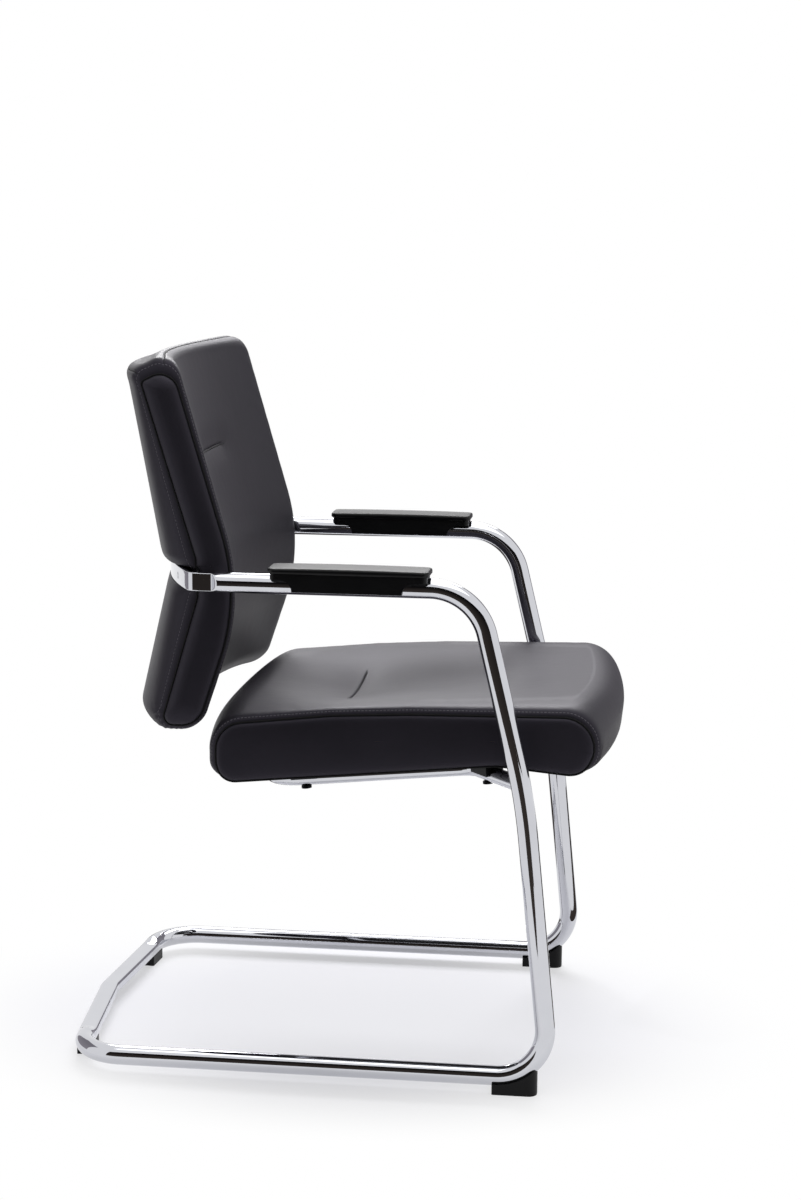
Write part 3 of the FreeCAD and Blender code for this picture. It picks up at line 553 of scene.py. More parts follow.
chrome = chrome_plate()
leather = black_leather()
moulding = grained_black("black_polypropylene", "#060607", "#0b0b0d", 0.40, 0.50, relief=0.12, gloss=0.20)
pad_skin = grained_black("black_skinned_foam", "#060607", "#0b0b0d", 0.36, 0.40, relief=0.02, gloss=0.24)
# Black thread given a mid-grey colour as its painted sheen, so that the stitches show
sheen_grey_thread = grained_black("black_thread_painted_sheen", "#4a474e", "#5c5960", 0.50, 0.65, relief=0.12, gloss=0.50)
# Near-black rough beads laid in seams and creases as painted shade where the leather folds in
painted_shade_black = grained_black("painted_seam_shade", "#040405", "#08080a", 0.75, 0.85, relief=0.12, gloss=0.30)
zinc = fastener_steel("zinc_plated_steel", "#9d9fa3", "#c2c4c8", 0.28)
blackened = fastener_steel("blackened_steel", "#121213", "#1e1e20", 0.40)
plywood = matt_filling("beech_plywood", "#8f6b45", "#b88f62", (0.1, 1.0, 4.0))
lining = matt_filling("black_spun_lining", "#0d0d0e", "#1a1a1c", (1.0, 1.0, 1.0))


# Frame tubes: one bent tube a side from the floor joint to the pressed arm end
def frame_tube(way):
    """Circle along runner, upright and arm; over the pressed end its sides are held between
    two flats that part quickly at their front end, where they meet the round in a pointed crease."""
    y = way * half_width
    corners = [(joint_x, y, runner_z), (front_corner_x, y, runner_z), (kink_x, y, kink_z),
               (arm_corner_x, y, arm_z), (band_start_x, y, arm_z)]
    route = rounded_route(corners, (front_bend, kink_bend, arm_bend), tube_step)
    left = travelled(route)[-1] - travelled(route)
    fine = np.linspace(arm_fine, 0, arm_fine_points)
    ends = np.stack([band_start_x + fine, np.full_like(fine, y), np.full_like(fine, arm_z)], -1)
    route = np.concatenate([route[left > arm_fine + 1], ends])
    left = travelled(route)[-1] - travelled(route)
    press = np.clip((left - arm_flat) / (arm_press - arm_flat), 0, 1)[:, None]
    flat = arm_press_half + (arm_press_open - arm_press_half) * press
    ring = np.broadcast_to(circle(tube_radius, tube_facets), (len(route), tube_facets, 2)).copy()
    held = (1 + np.abs(ring[..., 1] / flat) ** arm_press_power) ** (-1 / arm_press_power)
    ring[..., 1] *= np.where(left[:, None] < arm_press, held, 1.0)
    ring[..., 0] *= 1 - (1 - smooth(press)) * (1 - band_height / 2 / tube_radius)
    return swept(route, ring, (0.0, 1.0, 0.0))


for side, way in sides:
    points = frame_tube(way)
    tube = piece(side + "_frame_tube", points.reshape(-1, 3), tube_faces(points), chrome)
    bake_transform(tube)
    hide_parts(side + "_runner", side + "_arm_tube")


# Rear floor bar: round at its two bends, pressed flat and bent to a vee between them
def floor_bar():
    """Section that goes smoothly from a circle to a rounded rectangle over each press."""
    corner = (bar_x + bar_vee * half_width, -half_width, runner_z)
    corners = [(joint_x, -half_width, runner_z), corner, (bar_x, 0, runner_z),
               (corner[0], half_width, runner_z), (joint_x, half_width, runner_z)]
    route = rounded_route(corners, (bar_bend, bar_bend, bar_bend), bar_step)
    gone = travelled(route)
    turn = math.pi / 2 - math.atan(bar_vee)
    reach = bar_bend * math.tan(turn / 2)
    bend_end = joint_x - corner[0] - reach + bar_bend * turn
    share = smooth((np.minimum(gone, gone[-1] - gone) - bend_end) / bar_press)[:, None, None]
    ring = round_ring(tube_radius, bar_side_deg, bar_top_deg, bar_ring_steps)
    flat = pressed_ring(bar_width / 2, bar_height / 2, bar_edge, bar_ring_steps)
    return swept(route, ring * (1 - share) + flat * share, (0.0, 0.0, 1.0))


points = floor_bar()
bar = piece("rear_floor_bar", points.reshape(-1, 3), tube_faces(points), chrome, "base")
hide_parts("floor_crossbar")


# Band behind the backrest
def back_band():
    """Rounded strip along a short run, a tight corner, a wide arc and the same mirrored."""
    hub = np.array([band_bend_x, half_width - band_corner])
    turn = math.atan2(hub[1], hub[0] - band_centre_x)
    small = np.linspace(np.pi / 2, turn, band_corner_points)
    wide = np.linspace(turn, 2 * np.pi - turn, band_arc_points)
    corner = hub + band_corner * np.stack([np.cos(small), np.sin(small)], -1)
    arc = np.stack([band_centre_x + band_middle * np.cos(wide), band_middle * np.sin(wide)], -1)
    line = np.concatenate([[[band_start_x, half_width]], corner, arc[1:-1],
                           corner[::-1] * (1, -1), [[band_start_x, -half_width]]])
    route = np.column_stack([line, np.full(len(line), arm_z)])
    ring = pressed_ring(band_thickness / 2, band_height / 2, band_edge, band_ring_steps)
    return swept(route, np.broadcast_to(ring, (len(route),) + ring.shape), (0.0, 0.0, 1.0))


points = back_band()
band = piece("back_band_strip", points.reshape(-1, 3), tube_faces(points), chrome, "upper")
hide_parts("back_band")


# Hoop under the seat
def seat_hoop():
    """Circle along the hoop's bent line."""
    start_x = kink_x - upper_lean * (hoop_z - kink_z)
    near = [(start_x, -half_width, hoop_z), (hoop_bend_x, -hoop_half, hoop_z),
            (hoop_rear_x, -hoop_half, hoop_z - hoop_drop)]
    far = [(x, -y, z) for x, y, z in reversed(near)]
    bends = (hoop_front_bend, hoop_rear_bend, hoop_rear_bend, hoop_front_bend)
    route = rounded_route(near + far, bends, hoop_step)
    ring = circle(hoop_radius, hoop_facets)
    return swept(route, np.broadcast_to(ring, (len(route),) + ring.shape), (0.0, 0.0, 1.0))


points = seat_hoop()
hoop = piece("seat_hoop_tube", points.reshape(-1, 3), tube_faces(points), chrome, "upper")
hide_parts("seat_hoop")


# Cushions
def seat_floor(x):
    """Underside of the seat: along the hoop, then falling towards the front."""
    fold_z = seat_base_z + hoop_slope * (np.minimum(x, seat_fold_x) - hoop_bend_x)
    return fold_z - seat_front_fall * np.maximum(x - seat_fold_x, 0.0)


def seat_corners(y):
    """Corners of the seat's side outline at each place across: powers of the share of the
    half width give the dish, the rolled sides and the bulged ends."""
    side = (y / seat_half) ** 2
    dish = seat_dish * (1 - side) ** 2
    roll = seat_roll * side * (1 - side)
    crown = 1 - side ** 2
    brow = 1 - side ** 4
    rear = seat_rear_x - seat_rear_bulge * (1 - side)
    front = seat_front_x - seat_front_sweep * side
    under = front - seat_front_under
    tuck = np.full_like(y, seat_tuck_x)
    crest = np.full_like(y, seat_crest_x)
    bend = np.full_like(y, seat_fold_x)
    spots = [(rear, seat_floor(rear)),
             (rear, seat_base_z + seat_rear_rise + seat_rear_crown * crown),
             (tuck, seat_base_z + seat_tuck_rise + roll - dish),
             (crest, seat_base_z + seat_crest_rise + seat_crest_crown * brow + roll - dish / 2),
             (front, seat_base_z + seat_front_rise + seat_front_crown * brow),
             (under, seat_floor(under)),
             (bend, seat_floor(bend))]
    return np.stack([np.stack(spot, -1) for spot in spots], 1)


def seat_radii(y):
    """Corner radii of those outlines: at the side seams the upper rear corner is tighter and
    the two front corners are rounder."""
    return np.array(seat_corner_radii) + np.outer((y / seat_half) ** 4, seat_seam_radii)


def back_corners(y):
    """Corners of the backrest's side outline at each place across, from the lumbar point
    down, round behind the band and up to the top."""
    side = (y / back_half) ** 2
    hollow = back_hollow * (1 - side)
    crown = back_top_crown * (1 - side ** 32)
    bow = 1 - back_bow_round * side - (1 - back_bow_round) * side ** 2
    ends = side ** 8
    band_front = band_centre_x - np.sqrt((band_radius - band_thickness) ** 2 - y ** 2)
    band_rear = band_centre_x - np.sqrt(band_radius ** 2 - y ** 2)
    waist = band_front + pocket_clear + pocket_end_clear * side ** 2
    lower_lip = band_rear - lower_lip_out + lower_lip_end * ends
    upper_lip = band_rear - upper_lip_out - upper_lip_swell * (1 - side) ** 2 + upper_lip_end * ends
    level = np.zeros_like(y)
    spots = [(back_lumbar_x - hollow, level + back_lumbar_z),
             (back_low_front_x - hollow, level + back_low_z),
             (back_low_rear_x - back_low_bow * bow, level + back_low_z),
             (lower_lip, level + lower_lip_z),
             (waist, level - pocket_half),
             (waist, level + pocket_half),
             (upper_lip, level + upper_lip_z),
             (back_top_rear_x - back_top_bow * bow, back_top_rear_z + crown),
             (back_top_front_x - hollow, back_top_front_z + crown)]
    return np.stack([np.stack([x, arm_z + z], -1) for x, z in spots], 1)


def back_radii(y):
    """Corner radii of those outlines: the top front edge is rounder at the side seams."""
    radii = np.tile(back_corner_radii, (len(y), 1))
    radii[:, -1] += back_seam_radius * (y / back_half) ** 12
    return radii


def outlines(corners, radii):
    """Closed rounded outlines, one a row: arcs at the corners with straight runs between."""
    count = corners.shape[1]
    t = np.linspace(0, 1, arc_points)
    arcs = [corner_arc(corners[:, i - 1], corners[:, i], corners[:, (i + 1) % count], radii[:, i:i + 1], t)
            for i in range(count)]
    run = np.linspace(0, 1, run_points)[1:-1, None]
    pieces = []
    for i in range(count):
        end, start = arcs[i][:, -1:], arcs[(i + 1) % count][:, :1]
        pieces += [arcs[i], end + (start - end) * run]
    return np.concatenate(pieces, 1)


def stops_about(index, spread):
    """Stops for a close run of points on both sides of a numbered point."""
    return [index - spread, index, index + spread]


def respaced(lines, stops, counts):
    """Each row's closed line taken again at even steps between the numbered stops."""
    ring = np.concatenate([lines, lines[:, :1]], 1)
    steps = np.linalg.norm(np.diff(ring, axis=1), axis=2)
    gone = np.concatenate([np.zeros((len(ring), 1)), np.cumsum(steps, 1)], 1)
    ends = list(stops) + [ring.shape[1] - 1]
    share = np.concatenate([np.linspace(a, b, n, endpoint=False)
                            for a, b, n in zip(range(len(stops)), range(1, len(ends)), counts)])
    rows = []
    for row, length in zip(ring, gone):
        at = np.interp(share, np.arange(len(ends)), length[ends])
        rows.append(np.stack([np.interp(at, length, row[:, 0]), np.interp(at, length, row[:, 1])], -1))
    return np.stack(rows)


def column_at(stop, stops, counts):
    """Column of the respaced line that lies at one of its stops."""
    return sum(counts[:stops.index(stop)])


def nearest_point(lines, axis, value, first, last):
    """Number of the point of the middle outline that lies nearest a value, between two points."""
    middle = lines[len(lines) // 2, first:last, axis]
    return first + int(np.argmin(np.abs(middle - value)))


def across_rows(half):
    """Places across a cushion: close together at the two side seams, then even."""
    last = wrap_places[-1]
    inner = np.linspace(last, half, int((half - last) / row_step) + 1)[1:]
    away = np.concatenate([wrap_places, inner])
    return np.concatenate([away - half, (half - away)[:-1][::-1]])


def outward(lines):
    """Unit normals of clockwise closed outlines, in their own plane."""
    tangent = unit(np.roll(lines, -1, 1) - np.roll(lines, 1, 1))
    return np.stack([-tangent[..., 1], tangent[..., 0]], -1)


def round_outline(lines):
    """Distance gone round each closed outline."""
    steps = np.linalg.norm(np.diff(lines, axis=1, append=lines[:, :1]), axis=2)
    return np.cumsum(steps, 1) - steps


def edge_puff(away):
    """Height of the filled leather beside a side seam: a sharp valley at the seam, a slight
    dip at the stitch line, highest about 11 mm in and faded to an eighth at 100 mm."""
    away = np.maximum(away - seam_depth / 2, 0.0)
    filled = puff_height * (1 - np.exp(-away / puff_rise)) * np.exp(-away / puff_fade)
    from_stitch = away - stitch_from_seam + seam_depth / 2
    stitched = stitch_dip * np.exp(-(from_stitch / stitch_dip_width) ** 2)
    return filled - stitched - seam_depth * np.exp(-away / valley_width)


def pucker(away, gone):
    """Slight pull of the stitches: two waves along the seam, one and a half times as long as
    the other, gone about 60 mm in."""
    turns = np.pi * gone / pucker_pitch
    waves = np.cos(2 * turns + pucker_phases[0]) + pucker_second * np.cos(3 * turns + pucker_phases[1])
    away = np.maximum(away - seam_depth / 2, 0.0)
    return pucker_height * waves * (1 - np.exp(-away / pucker_rise)) * np.exp(-away / pucker_fade)


def crease(distance, reach, y, lip):
    """Depth of a sewn tuck: a fold that is sharp on one side and falls off over the lip's
    width on the other, in a soft hollow, fading towards its two ends."""
    length = smooth((reach - np.abs(y)) / tuck_end)
    hollow = smooth((reach + hollow_past - np.abs(y)) / hollow_end)
    fall = np.where(distance < 0, lip, tuck_sharp)
    return (tuck_depth * np.exp(-np.abs(distance) / fall) * length
            + hollow_depth * np.exp(-(distance / hollow_half) ** 2) * hollow)


def side_panel(seam, spine, way, half, swell):
    """Loops from the seam to a line down the panel's middle: the filling lifts them quickly
    beside the seam, and a round dome over the panel's width adds the swell."""
    foot, far = seam, np.full(len(seam), np.inf)
    for start, leg in zip(spine[:-1], np.diff(spine, axis=0)):
        t = np.clip((seam - start) @ leg / (leg @ leg), 0, 1)
        spot = start + t[:, None] * leg
        length = np.linalg.norm(seam - spot, axis=1)
        foot = np.where((length < far)[:, None], spot, foot)
        far = np.minimum(length, far)
    edge = panel_places[-1] / far
    rest = np.linspace(0, 1, 9)[1:, None]
    share = np.concatenate([panel_places[:, None] / far, rest * (1 - edge) + edge])
    flat = seam + (foot - seam) * share[..., None]
    gone = share * far
    lift = panel_height * (1 - np.exp(-gone / panel_rise)) - seam_depth / 2 * np.exp(-gone / valley_width)
    lift = lift + swell * (1 - (1 - share) ** 2)
    return np.stack([flat[..., 0], way * (half + lift), flat[..., 1]], -1)


def cushion(name, wrap, y, half, spine, swell):
    """One leather form: the wrap from seam to seam and a panel at each side."""
    rows, columns = wrap.shape[:2]
    place = np.clip(y, seam_depth / 2 - half, half - seam_depth / 2)
    body = np.stack([wrap[..., 0], np.broadcast_to(place[:, None], (rows, columns)), wrap[..., 1]], -1)
    points = [body.reshape(-1, 3)]
    faces = [quads(rows, columns)]
    first = rows * columns
    for way, seam in ((-1, wrap[0]), (1, wrap[-1])):
        loops = side_panel(seam, spine, way, half, swell)
        points.append(loops.reshape(-1, 3))
        faces.append(quads(len(loops), columns, first))
        first += loops.shape[0] * columns
    return piece(name, np.concatenate(points), np.concatenate(faces), leather, "upper")


def topstitch(name, wrap, y, keep):
    """Short threads laid end to end along the row of the wrap that lies at the stitch line:
    a small six-sided spindle repeated at the stitch pitch."""
    rings = np.array([[-0.5, 0.1], [-0.42, 0.8], [0.0, 1.0], [0.42, 0.8], [0.5, 0.1]])
    sideways = np.array([0.0, 1.0, 0.0])
    a = np.linspace(0, 2 * np.pi, 6, endpoint=False)[None, None, :, None]
    spots = []
    for stitch_y in (y[0] + stitch_from_seam, y[-1] - stitch_from_seam):
        row = np.argmin(np.abs(y - stitch_y))
        line = np.column_stack([wrap[row][:, 0], np.full(wrap.shape[1], y[row]), wrap[row][:, 1]])
        line = np.concatenate([line, line[:1]])
        gone = travelled(line)
        at = np.arange(0, gone[-1] - stitch_pitch, stitch_pitch)
        centre = np.stack([np.interp(at, gone, line[:, k]) for k in range(3)], -1)
        ahead = np.stack([np.interp(at + 1.0, gone, line[:, k]) for k in range(3)], -1)
        run = unit(ahead - centre)
        out = np.cross(run, sideways)
        along = rings[:, 0][None, :, None, None] * stitch_length * run[:, None, None]
        width = rings[:, 1][None, :, None, None] * stitch_radius
        body = (centre[:, None, None] + along + width * np.cos(a) * out[:, None, None]
                + width * np.sin(a) * sideways)
        spots.append(body[keep(centre)])
    bodies = np.concatenate(spots)
    each = bodies.shape[1] * bodies.shape[2]
    starts = np.arange(len(bodies)) * each
    faces = (quads(*bodies.shape[1:3])[None] + starts[:, None, None]).reshape(-1, 4)
    # The threads carry a grey colour that is painted sheen on black thread
    return piece(name, bodies.reshape(-1, 3), faces, sheen_grey_thread, "upper")


def seam_shade(name, wrap, half):
    """Painted shade in each side seam: a thin dark bead along the seam's closed line, put there
    for the shadow where the leather folds in."""
    ring = circle(shade_radius, 6)
    sideways = np.array([0.0, 1.0, 0.0])
    count = wrap.shape[1]
    each = count * len(ring)
    lift = outward(wrap)
    points, faces = [], []
    for row, way in ((0, -1), (-1, 1)):
        flat = wrap[row] + lift[row] * seam_shade_sink
        line = np.column_stack([flat[:, 0], np.full(count, way * (half - seam_shade_sink)), flat[:, 1]])
        across = np.cross(unit(np.roll(line, -1, 0) - np.roll(line, 1, 0)), sideways)
        bead = line[:, None] + ring[:, :1] * across[:, None] + ring[:, 1:] * sideways
        faces.append(quads(count + 1, len(ring)) % each + len(points) * each)
        points.append(bead.reshape(-1, 3))
    return piece(name, np.concatenate(points), np.concatenate(faces), painted_shade_black, "upper")


def crease_shade(name, wrap, y, column, reach):
    """Painted shade of a sewn tuck or of a seam across the top: a dark bead along the bottom of
    the crease for its shadow, thinned to nothing at its two ends."""
    rows = np.abs(y) < reach
    spots = wrap[rows, column] + outward(wrap)[rows, column] * crease_shade_lift
    line = np.column_stack([spots[:, 0], y[rows], spots[:, 1]])
    taper = np.sqrt(np.clip(1 - (y[rows] / reach) ** 2, 0.0, 1.0))
    ring = circle(crease_shade_radius, 8) * taper[:, None, None]
    points = swept(line, ring, (0.0, 0.0, 1.0))
    return piece(name, points.reshape(-1, 3), tube_faces(points), painted_shade_black, "upper")


# Seat cushion: the stops are corners of its outline and the tuck, with points close together there
seat_y = across_rows(seat_half)
seat_lines = outlines(seat_corners(seat_y), seat_radii(seat_y))
seat_tuck_at = nearest_point(seat_lines, 0, seat_tuck_x, corner_step, 4 * corner_step)
seat_stops = ([0, corner_step] + stops_about(seat_tuck_at, 8)
              + [4 * corner_step, 5 * corner_step, 6 * corner_step])
seat_counts = (26, 60, 12, 12, 110, 40, 40, 30)
seat_tuck_column = column_at(seat_tuck_at, seat_stops, seat_counts)
seat_wrap = respaced(seat_lines, seat_stops, seat_counts)
seat_normal = outward(seat_wrap)
seat_away = (seat_half - np.abs(seat_y))[:, None]
seat_above = seat_wrap[..., 1] - seat_floor(seat_wrap[..., 0])
seat_push = edge_puff(seat_away) + pucker(seat_away, round_outline(seat_wrap))
seat_push = seat_push * smooth(seat_above / seat_filled_over)
seat_top = smooth((seat_above - seat_top_from) / seat_top_over)
seat_crease = crease(seat_wrap[..., 0] - seat_tuck_x, seat_tuck_reach, seat_y[:, None], seat_tuck_lip)
seat_push = seat_push - seat_top * seat_crease
seat_wrap = seat_wrap + seat_normal * seat_push[..., None]
seat = cushion("seat_cushion", seat_wrap, seat_y, seat_half, seat_spine, seat_panel_swell)
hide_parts("seat_cover", "seat_foam")
# Dark beads painted into the side seams and the tuck as their shade
seam_shade("seat_seam_shade", seat_wrap, seat_half)
crease_shade("seat_tuck_shade", seat_wrap, seat_y, seat_tuck_column, seat_tuck_reach)
topstitch("seat_topstitch", seat_wrap, seat_y, lambda p: p[:, 2] - seat_floor(p[:, 0]) > seat_stitch_from)

# Back cushion: the stops are corners of its outline, ends of arcs, the two top seams and the tuck
back_y = across_rows(back_half)
back_lines = outlines(back_corners(back_y), back_radii(back_y))
lower_rear_at = 2 * corner_step
lower_lip_at = 3 * corner_step
upper_lip_at = 6 * corner_step
top_rear_at = 7 * corner_step + round(top_rear_share * arc_end)
top_front_at = 8 * corner_step + round(top_front_share * arc_end)
back_tuck_at = nearest_point(back_lines, 1, back_tuck_z, 8 * corner_step, None)
back_stops = ([0, corner_step, lower_rear_at, lower_rear_at + arc_end, lower_lip_at, lower_lip_at + arc_end,
               4 * corner_step, 5 * corner_step, upper_lip_at, upper_lip_at + arc_end]
              + stops_about(top_rear_at, 10) + stops_about(top_front_at, 8) + stops_about(back_tuck_at, 2))
back_counts = (60, 60, 24, 34, 6, 20, 24, 20, 10, 86, 10, 10, 24, 12, 12, 60, 12, 12, 50)
top_rear_column = column_at(top_rear_at, back_stops, back_counts)
top_front_column = column_at(top_front_at, back_stops, back_counts)
back_tuck_column = column_at(back_tuck_at, back_stops, back_counts)
back_wrap = respaced(back_lines, back_stops, back_counts)
back_normal = outward(back_wrap)
back_away = (back_half - np.abs(back_y))[:, None]
back_gone = round_outline(back_wrap)
past_valley = back_away - seam_depth / 2

# Filled edges, calm beside the band, and the tuck in the front
back_push = edge_puff(back_away) + pucker(back_away, back_gone)
near_band = smooth((band_calm_half - np.abs(back_wrap[..., 1] - arm_z)) / band_calm_over)
back_front = smooth(back_normal[..., 0] * back_front_gain)
back_push = back_push * (back_front + (1 - back_front) * (1 - near_band))
back_crease = crease(back_wrap[..., 1] - back_tuck_z, back_tuck_reach, back_y[:, None], back_tuck_lip)
back_push = back_push - back_front * back_crease

# Top seams: a narrow groove between two low ridges
for column in (top_rear_column, top_front_column):
    from_seam = np.abs(back_gone - back_gone[:, column:column + 1])
    ridge = ridge_height * np.exp(-((from_seam - ridge_away) / ridge_half) ** 2)
    groove = ridge - groove_depth * np.exp(-(from_seam / groove_half) ** 2)
    back_push = back_push + groove * smooth(past_valley / groove_clear)

# Gathers where the leather turns under at the lower rear
gather = smooth((gather_top_z - back_wrap[..., 1]) / gather_over)
gather = gather * smooth(gather_lean - back_normal[..., 0] * gather_lean_gain)
gather = gather * np.exp(-back_away / gather_fade) * smooth(past_valley / gather_clear)
back_push = back_push + gather_height * gather * np.cos(2 * np.pi * back_gone / gather_pitch)
back_wrap = back_wrap + back_normal * back_push[..., None]
back = cushion("back_cushion", back_wrap, back_y, back_half, back_spine, back_panel_swell)
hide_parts("back_cover", "back_foam")
# Dark beads painted into the side seams, the tuck and the two top seams as their shade
seam_shade("back_seam_shade", back_wrap, back_half)
crease_shade("back_tuck_shade", back_wrap, back_y, back_tuck_column, back_tuck_reach)
crease_shade("back_top_rear_shade", back_wrap, back_y, top_rear_column, back_half - seam_depth)
crease_shade("back_top_front_shade", back_wrap, back_y, top_front_column, back_half - seam_depth)
topstitch("back_topstitch", back_wrap, back_y, lambda p: np.ones(len(p), bool))


# Lining under the seat
def seat_lining():
    """Flat cloth just below the seat's underside, bent at the board's fold."""
    rear = np.linspace(lining_rear_x, seat_fold_x, 30)
    front = np.linspace(seat_fold_x, lining_front_x, 12)
    x = np.concatenate([rear, front[1:]])
    y = np.linspace(-lining_half, lining_half, 30)
    grid_x, grid_y = np.meshgrid(x, y, indexing="ij")
    return np.stack([grid_x, grid_y, seat_floor(grid_x) - lining_drop], -1)


points = seat_lining()
under = piece("seat_lining", points.reshape(-1, 3), quads(*points.shape[:2], closed=False), lining,
              "upper")
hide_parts("seat_under_cover")


# Arm pads
def arm_pad(way):
    """Rounded plan rising to a quarter-circle edge and drawn in to a line along the middle;
    a crown falls with the square of the distance from the middle, along and across."""
    middle = (pad_rear_x + pad_front_x) / 2
    length = (pad_front_x - pad_rear_x) / 2
    turn = np.linspace(0, np.pi / 2, 8)
    inward = np.linspace(pad_edge, pad_half, 9)[1:]
    level = np.full_like(inward, pad_thick)
    inset = np.concatenate([[1.0, 0.0], pad_edge * (1 - np.cos(turn)), inward])
    rise = np.concatenate([[0.0, 1.0], pad_thick - pad_edge * (1 - np.sin(turn)), level])
    rings = np.stack([pressed_ring(length - i, pad_half - i, max(pad_corner - i, 0.0), 14) for i in inset])
    crown = pad_crown * (1 - (rings[..., 0] / length) ** 2)
    crown = crown + pad_crown * (1 - (rings[..., 1] / pad_half) ** 2)
    height = rise[:, None] + crown * rise[:, None] / pad_thick
    return np.stack([middle + rings[..., 0], way * half_width + rings[..., 1], pad_low_z + height], -1)


for side, way in sides:
    points = arm_pad(way)
    rings, count = points.shape[:2]
    faces = quads(rings, count).tolist() + [list(range(count))]
    pad = piece(side + "_arm_pad_skin", points.reshape(-1, 3), faces, pad_skin, "upper")
    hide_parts(side + "_arm_pad")

# Nodes that keep their CAD shape get their finish
finishes = (
    (moulding, ("seat_saddles", "band_spacers", "back_shell", "left_front_foot", "right_front_foot",
                "left_rear_foot", "right_rear_foot", "left_pad_base", "right_pad_base")),
    (blackened, ("seat_bolts",)),
    (plywood, ("seat_board",)),
    (zinc, ("runner_sleeves", "foot_screws", "band_screws", "back_inserts", "seat_tee_nuts",
            "arm_pad_screws")),
)
for finish, nodes in finishes:
    for node in nodes:
        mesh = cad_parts[node].data
        mesh.materials.clear()
        mesh.materials.append(finish)

# Studio in metres: the floor fades to white between two distances, counted shorter along X
floor_half = 9.0
floor_card_z = 0.003
floor_oval = (0.72, 1.0, 0.0)
fade_start = 0.18
fade_end = 0.44
fade_least = 0.30
world_fill = 0.35
front_y = -1.25
rear_y = 1.9
left_x = -1.6


def card(name, corners, finish):
    """Flat four-cornered studio card."""
    mesh = bpy.data.meshes.new(name)
    mesh.from_pydata(corners, [], [(0, 1, 2, 3)])
    mesh.materials.append(finish)
    made = bpy.data.objects.new(name, mesh)
    bpy.context.scene.collection.objects.link(made)
    return made


def hide_card(made):
    """Makes a card show in reflections alone."""
    made.visible_camera = False
    made.visible_diffuse = False
    made.visible_shadow = False


def standing_card(name, start, end, low, high, finish):
    """Upright card over a line on the floor, seen only in reflections."""
    hide_card(card(name, [(*start, low), (*end, low), (*end, high), (*start, high)], finish))


def lying_card(name, plan, finish):
    """Card just above the floor, seen only in reflections."""
    hide_card(card(name, [(x, y, floor_card_z) for x, y in plan], finish))


def seen_directly(tree, *kinds):
    """1 for rays of the named kinds, which see the backdrop itself, and 0 for the others."""
    path = add(tree, "ShaderNodeLightPath")
    seen = path.outputs[kinds[0]]
    for kind in kinds[1:]:
        both = add(tree, "ShaderNodeMath", {0: seen, 1: path.outputs[kind]}, operation="MAXIMUM")
        seen = both.outputs[0]
    return seen


def studio_floor():
    """Pale matt floor that goes over to the white backdrop away from the chair."""
    made, tree, shader, place = material("studio_floor")
    plug(tree, shader, {"Base Color": linear("#eeeef6"), "Roughness": 0.55})
    flat = add(tree, "ShaderNodeVectorMath", {0: place, 1: floor_oval}, operation="MULTIPLY")
    far = add(tree, "ShaderNodeVectorMath", {0: flat.outputs["Vector"]}, operation="LENGTH")
    fade = add(tree, "ShaderNodeMapRange", {"Value": far.outputs["Value"], "From Min": fade_start,
                                            "From Max": fade_end, "To Min": fade_least, "To Max": 1.0},
               interpolation_type="SMOOTHSTEP")
    seen = seen_directly(tree, "Is Camera Ray", "Is Glossy Ray")
    share = add(tree, "ShaderNodeMath", {0: fade.outputs["Result"], 1: seen}, operation="MULTIPLY")
    white = add(tree, "ShaderNodeEmission", {"Color": (1, 1, 1, 1), "Strength": 1.0})
    mixed = add(tree, "ShaderNodeMixShader", {0: share.outputs[0], 1: shader.outputs[0], 2: white.outputs[0]})
    plug(tree, tree.nodes["Material Output"], {"Surface": mixed.outputs[0]})
    return made


def flag_paper(name, low, high):
    """Card for chrome and leather to mirror, from one shade at the floor to another a metre up."""
    made, tree, _, place = material(name)
    parts = add(tree, "ShaderNodeSeparateXYZ", {"Vector": place})
    shade = tinted(tree, parts.outputs["Z"], low, high)
    glow = add(tree, "ShaderNodeEmission", {"Color": shade, "Strength": 1.0})
    plug(tree, tree.nodes["Material Output"], {"Surface": glow.outputs[0]})
    return made


card("floor", [(-floor_half, -floor_half, 0), (floor_half, -floor_half, 0), (floor_half, floor_half, 0),
               (-floor_half, floor_half, 0)], studio_floor())
black_paper = flag_paper("black_flag_paper", "#3f3935", "#09090b")
grey_paper = flag_paper("grey_flag_paper", "#9d999f", "#8a878d")
standing_card("front_flag", (-1.1, front_y), (0.75, front_y), 0, 1.15, black_paper)
standing_card("front_right_flag", (0.75, front_y), (1.35, front_y), 0.3, 1.15, black_paper)
lying_card("front_floor_flag", [(0.17, -0.8), (0.25, -0.8), (0.6, front_y), (-0.25, front_y)], black_paper)
lying_card("left_floor_flag", [(-0.36, 0.30), (-0.02, 0.50), (-0.43, 1.63), (-1.28, 1.04)], black_paper)
standing_card("left_flag", (left_x, -0.3), (left_x, 1.3), 0, 1.5, grey_paper)
standing_card("rear_flag", (0.05, rear_y), (1.6, rear_y), 0, 1.2, grey_paper)
standing_card("rear_top_flag", (-0.6, rear_y), (1.6, rear_y), 1.2, 1.75, grey_paper)
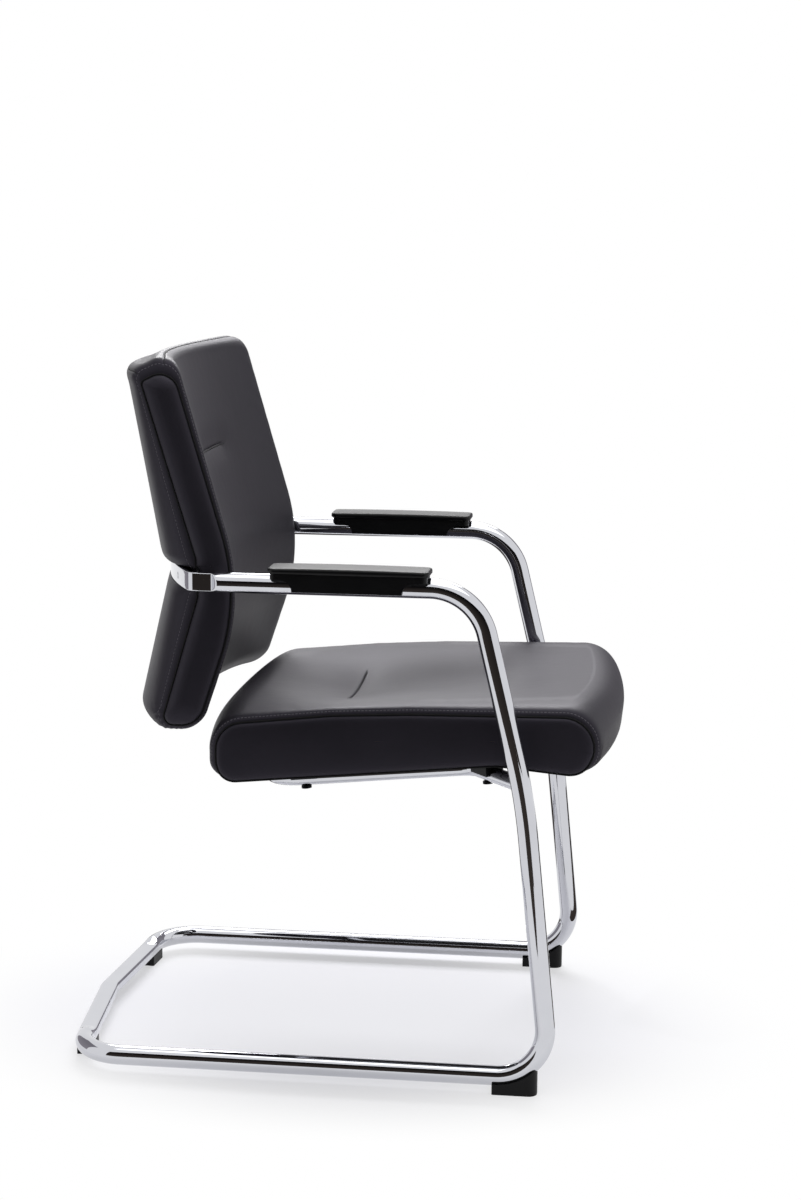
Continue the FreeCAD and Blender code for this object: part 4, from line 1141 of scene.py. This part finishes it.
lying_card("right_floor_flag", [(0.35, 0.03), (0.48, -0.05), (1.78, 1.04), (0.93, 1.63)], black_paper)

# White world for what is seen or mirrored, a plain even light for the rest
world = bpy.data.worlds.new("studio")
bpy.context.scene.world = world
world.use_nodes = True
sky = world.node_tree
sky_seen = seen_directly(sky, "Is Camera Ray", "Is Glossy Ray", "Is Transmission Ray")
sky_level = ranged(sky, sky_seen, world_fill, 1.0)
plug(sky, sky.nodes["Background"], {"Color": (1, 1, 1, 1), "Strength": sky_level})


def soft_box(name, place, aim, width, height, watts):
    """Area lamp that faces a point."""
    lamp = bpy.data.lights.new(name, "AREA")
    lamp.shape = "RECTANGLE"
    lamp.size, lamp.size_y, lamp.energy = width, height, watts
    made = bpy.data.objects.new(name, lamp)
    made.location = place
    back = (np.array(place) - np.array(aim)).tolist()
    made.rotation_euler = Vector(back).to_track_quat("Z", "Y").to_euler()
    bpy.context.scene.collection.objects.link(made)


soft_box("top_box", (0.3, -0.3, 3.0), (0.0, 0.0, 0.4), width=2.4, height=2.4, watts=22)
soft_box("rear_box", (-0.1, 2.2, 2.1), (0.05, 0.0, 0.48), width=2.0, height=1.2, watts=68)

# Camera at the photograph's place: angles in radians, lens in millimetres, place in metres
yaw, pitch, roll = -0.1266, 0.1735, -0.0077
camera_place = (0.4463, -3.0537, 1.1124)
ahead = np.array([math.sin(yaw) * math.cos(pitch), math.cos(yaw) * math.cos(pitch), -math.sin(pitch)])
right = np.array([math.cos(yaw), -math.sin(yaw), 0.0])
down = np.cross(ahead, right)
turned_right = math.cos(roll) * right + math.sin(roll) * down
turned_down = -math.sin(roll) * right + math.cos(roll) * down
lens = bpy.data.cameras.new("camera")
lens.sensor_width = 36.0
lens.lens = 71.39
camera = bpy.data.objects.new("camera", lens)
axes = np.eye(4)
axes[:3, 0], axes[:3, 1], axes[:3, 2] = turned_right, -turned_down, -ahead
axes[:3, 3] = camera_place
camera.matrix_world = Matrix(axes.tolist())
bpy.context.scene.collection.objects.link(camera)
bpy.context.scene.camera = camera
bpy.context.scene.view_settings.view_transform = "Standard"
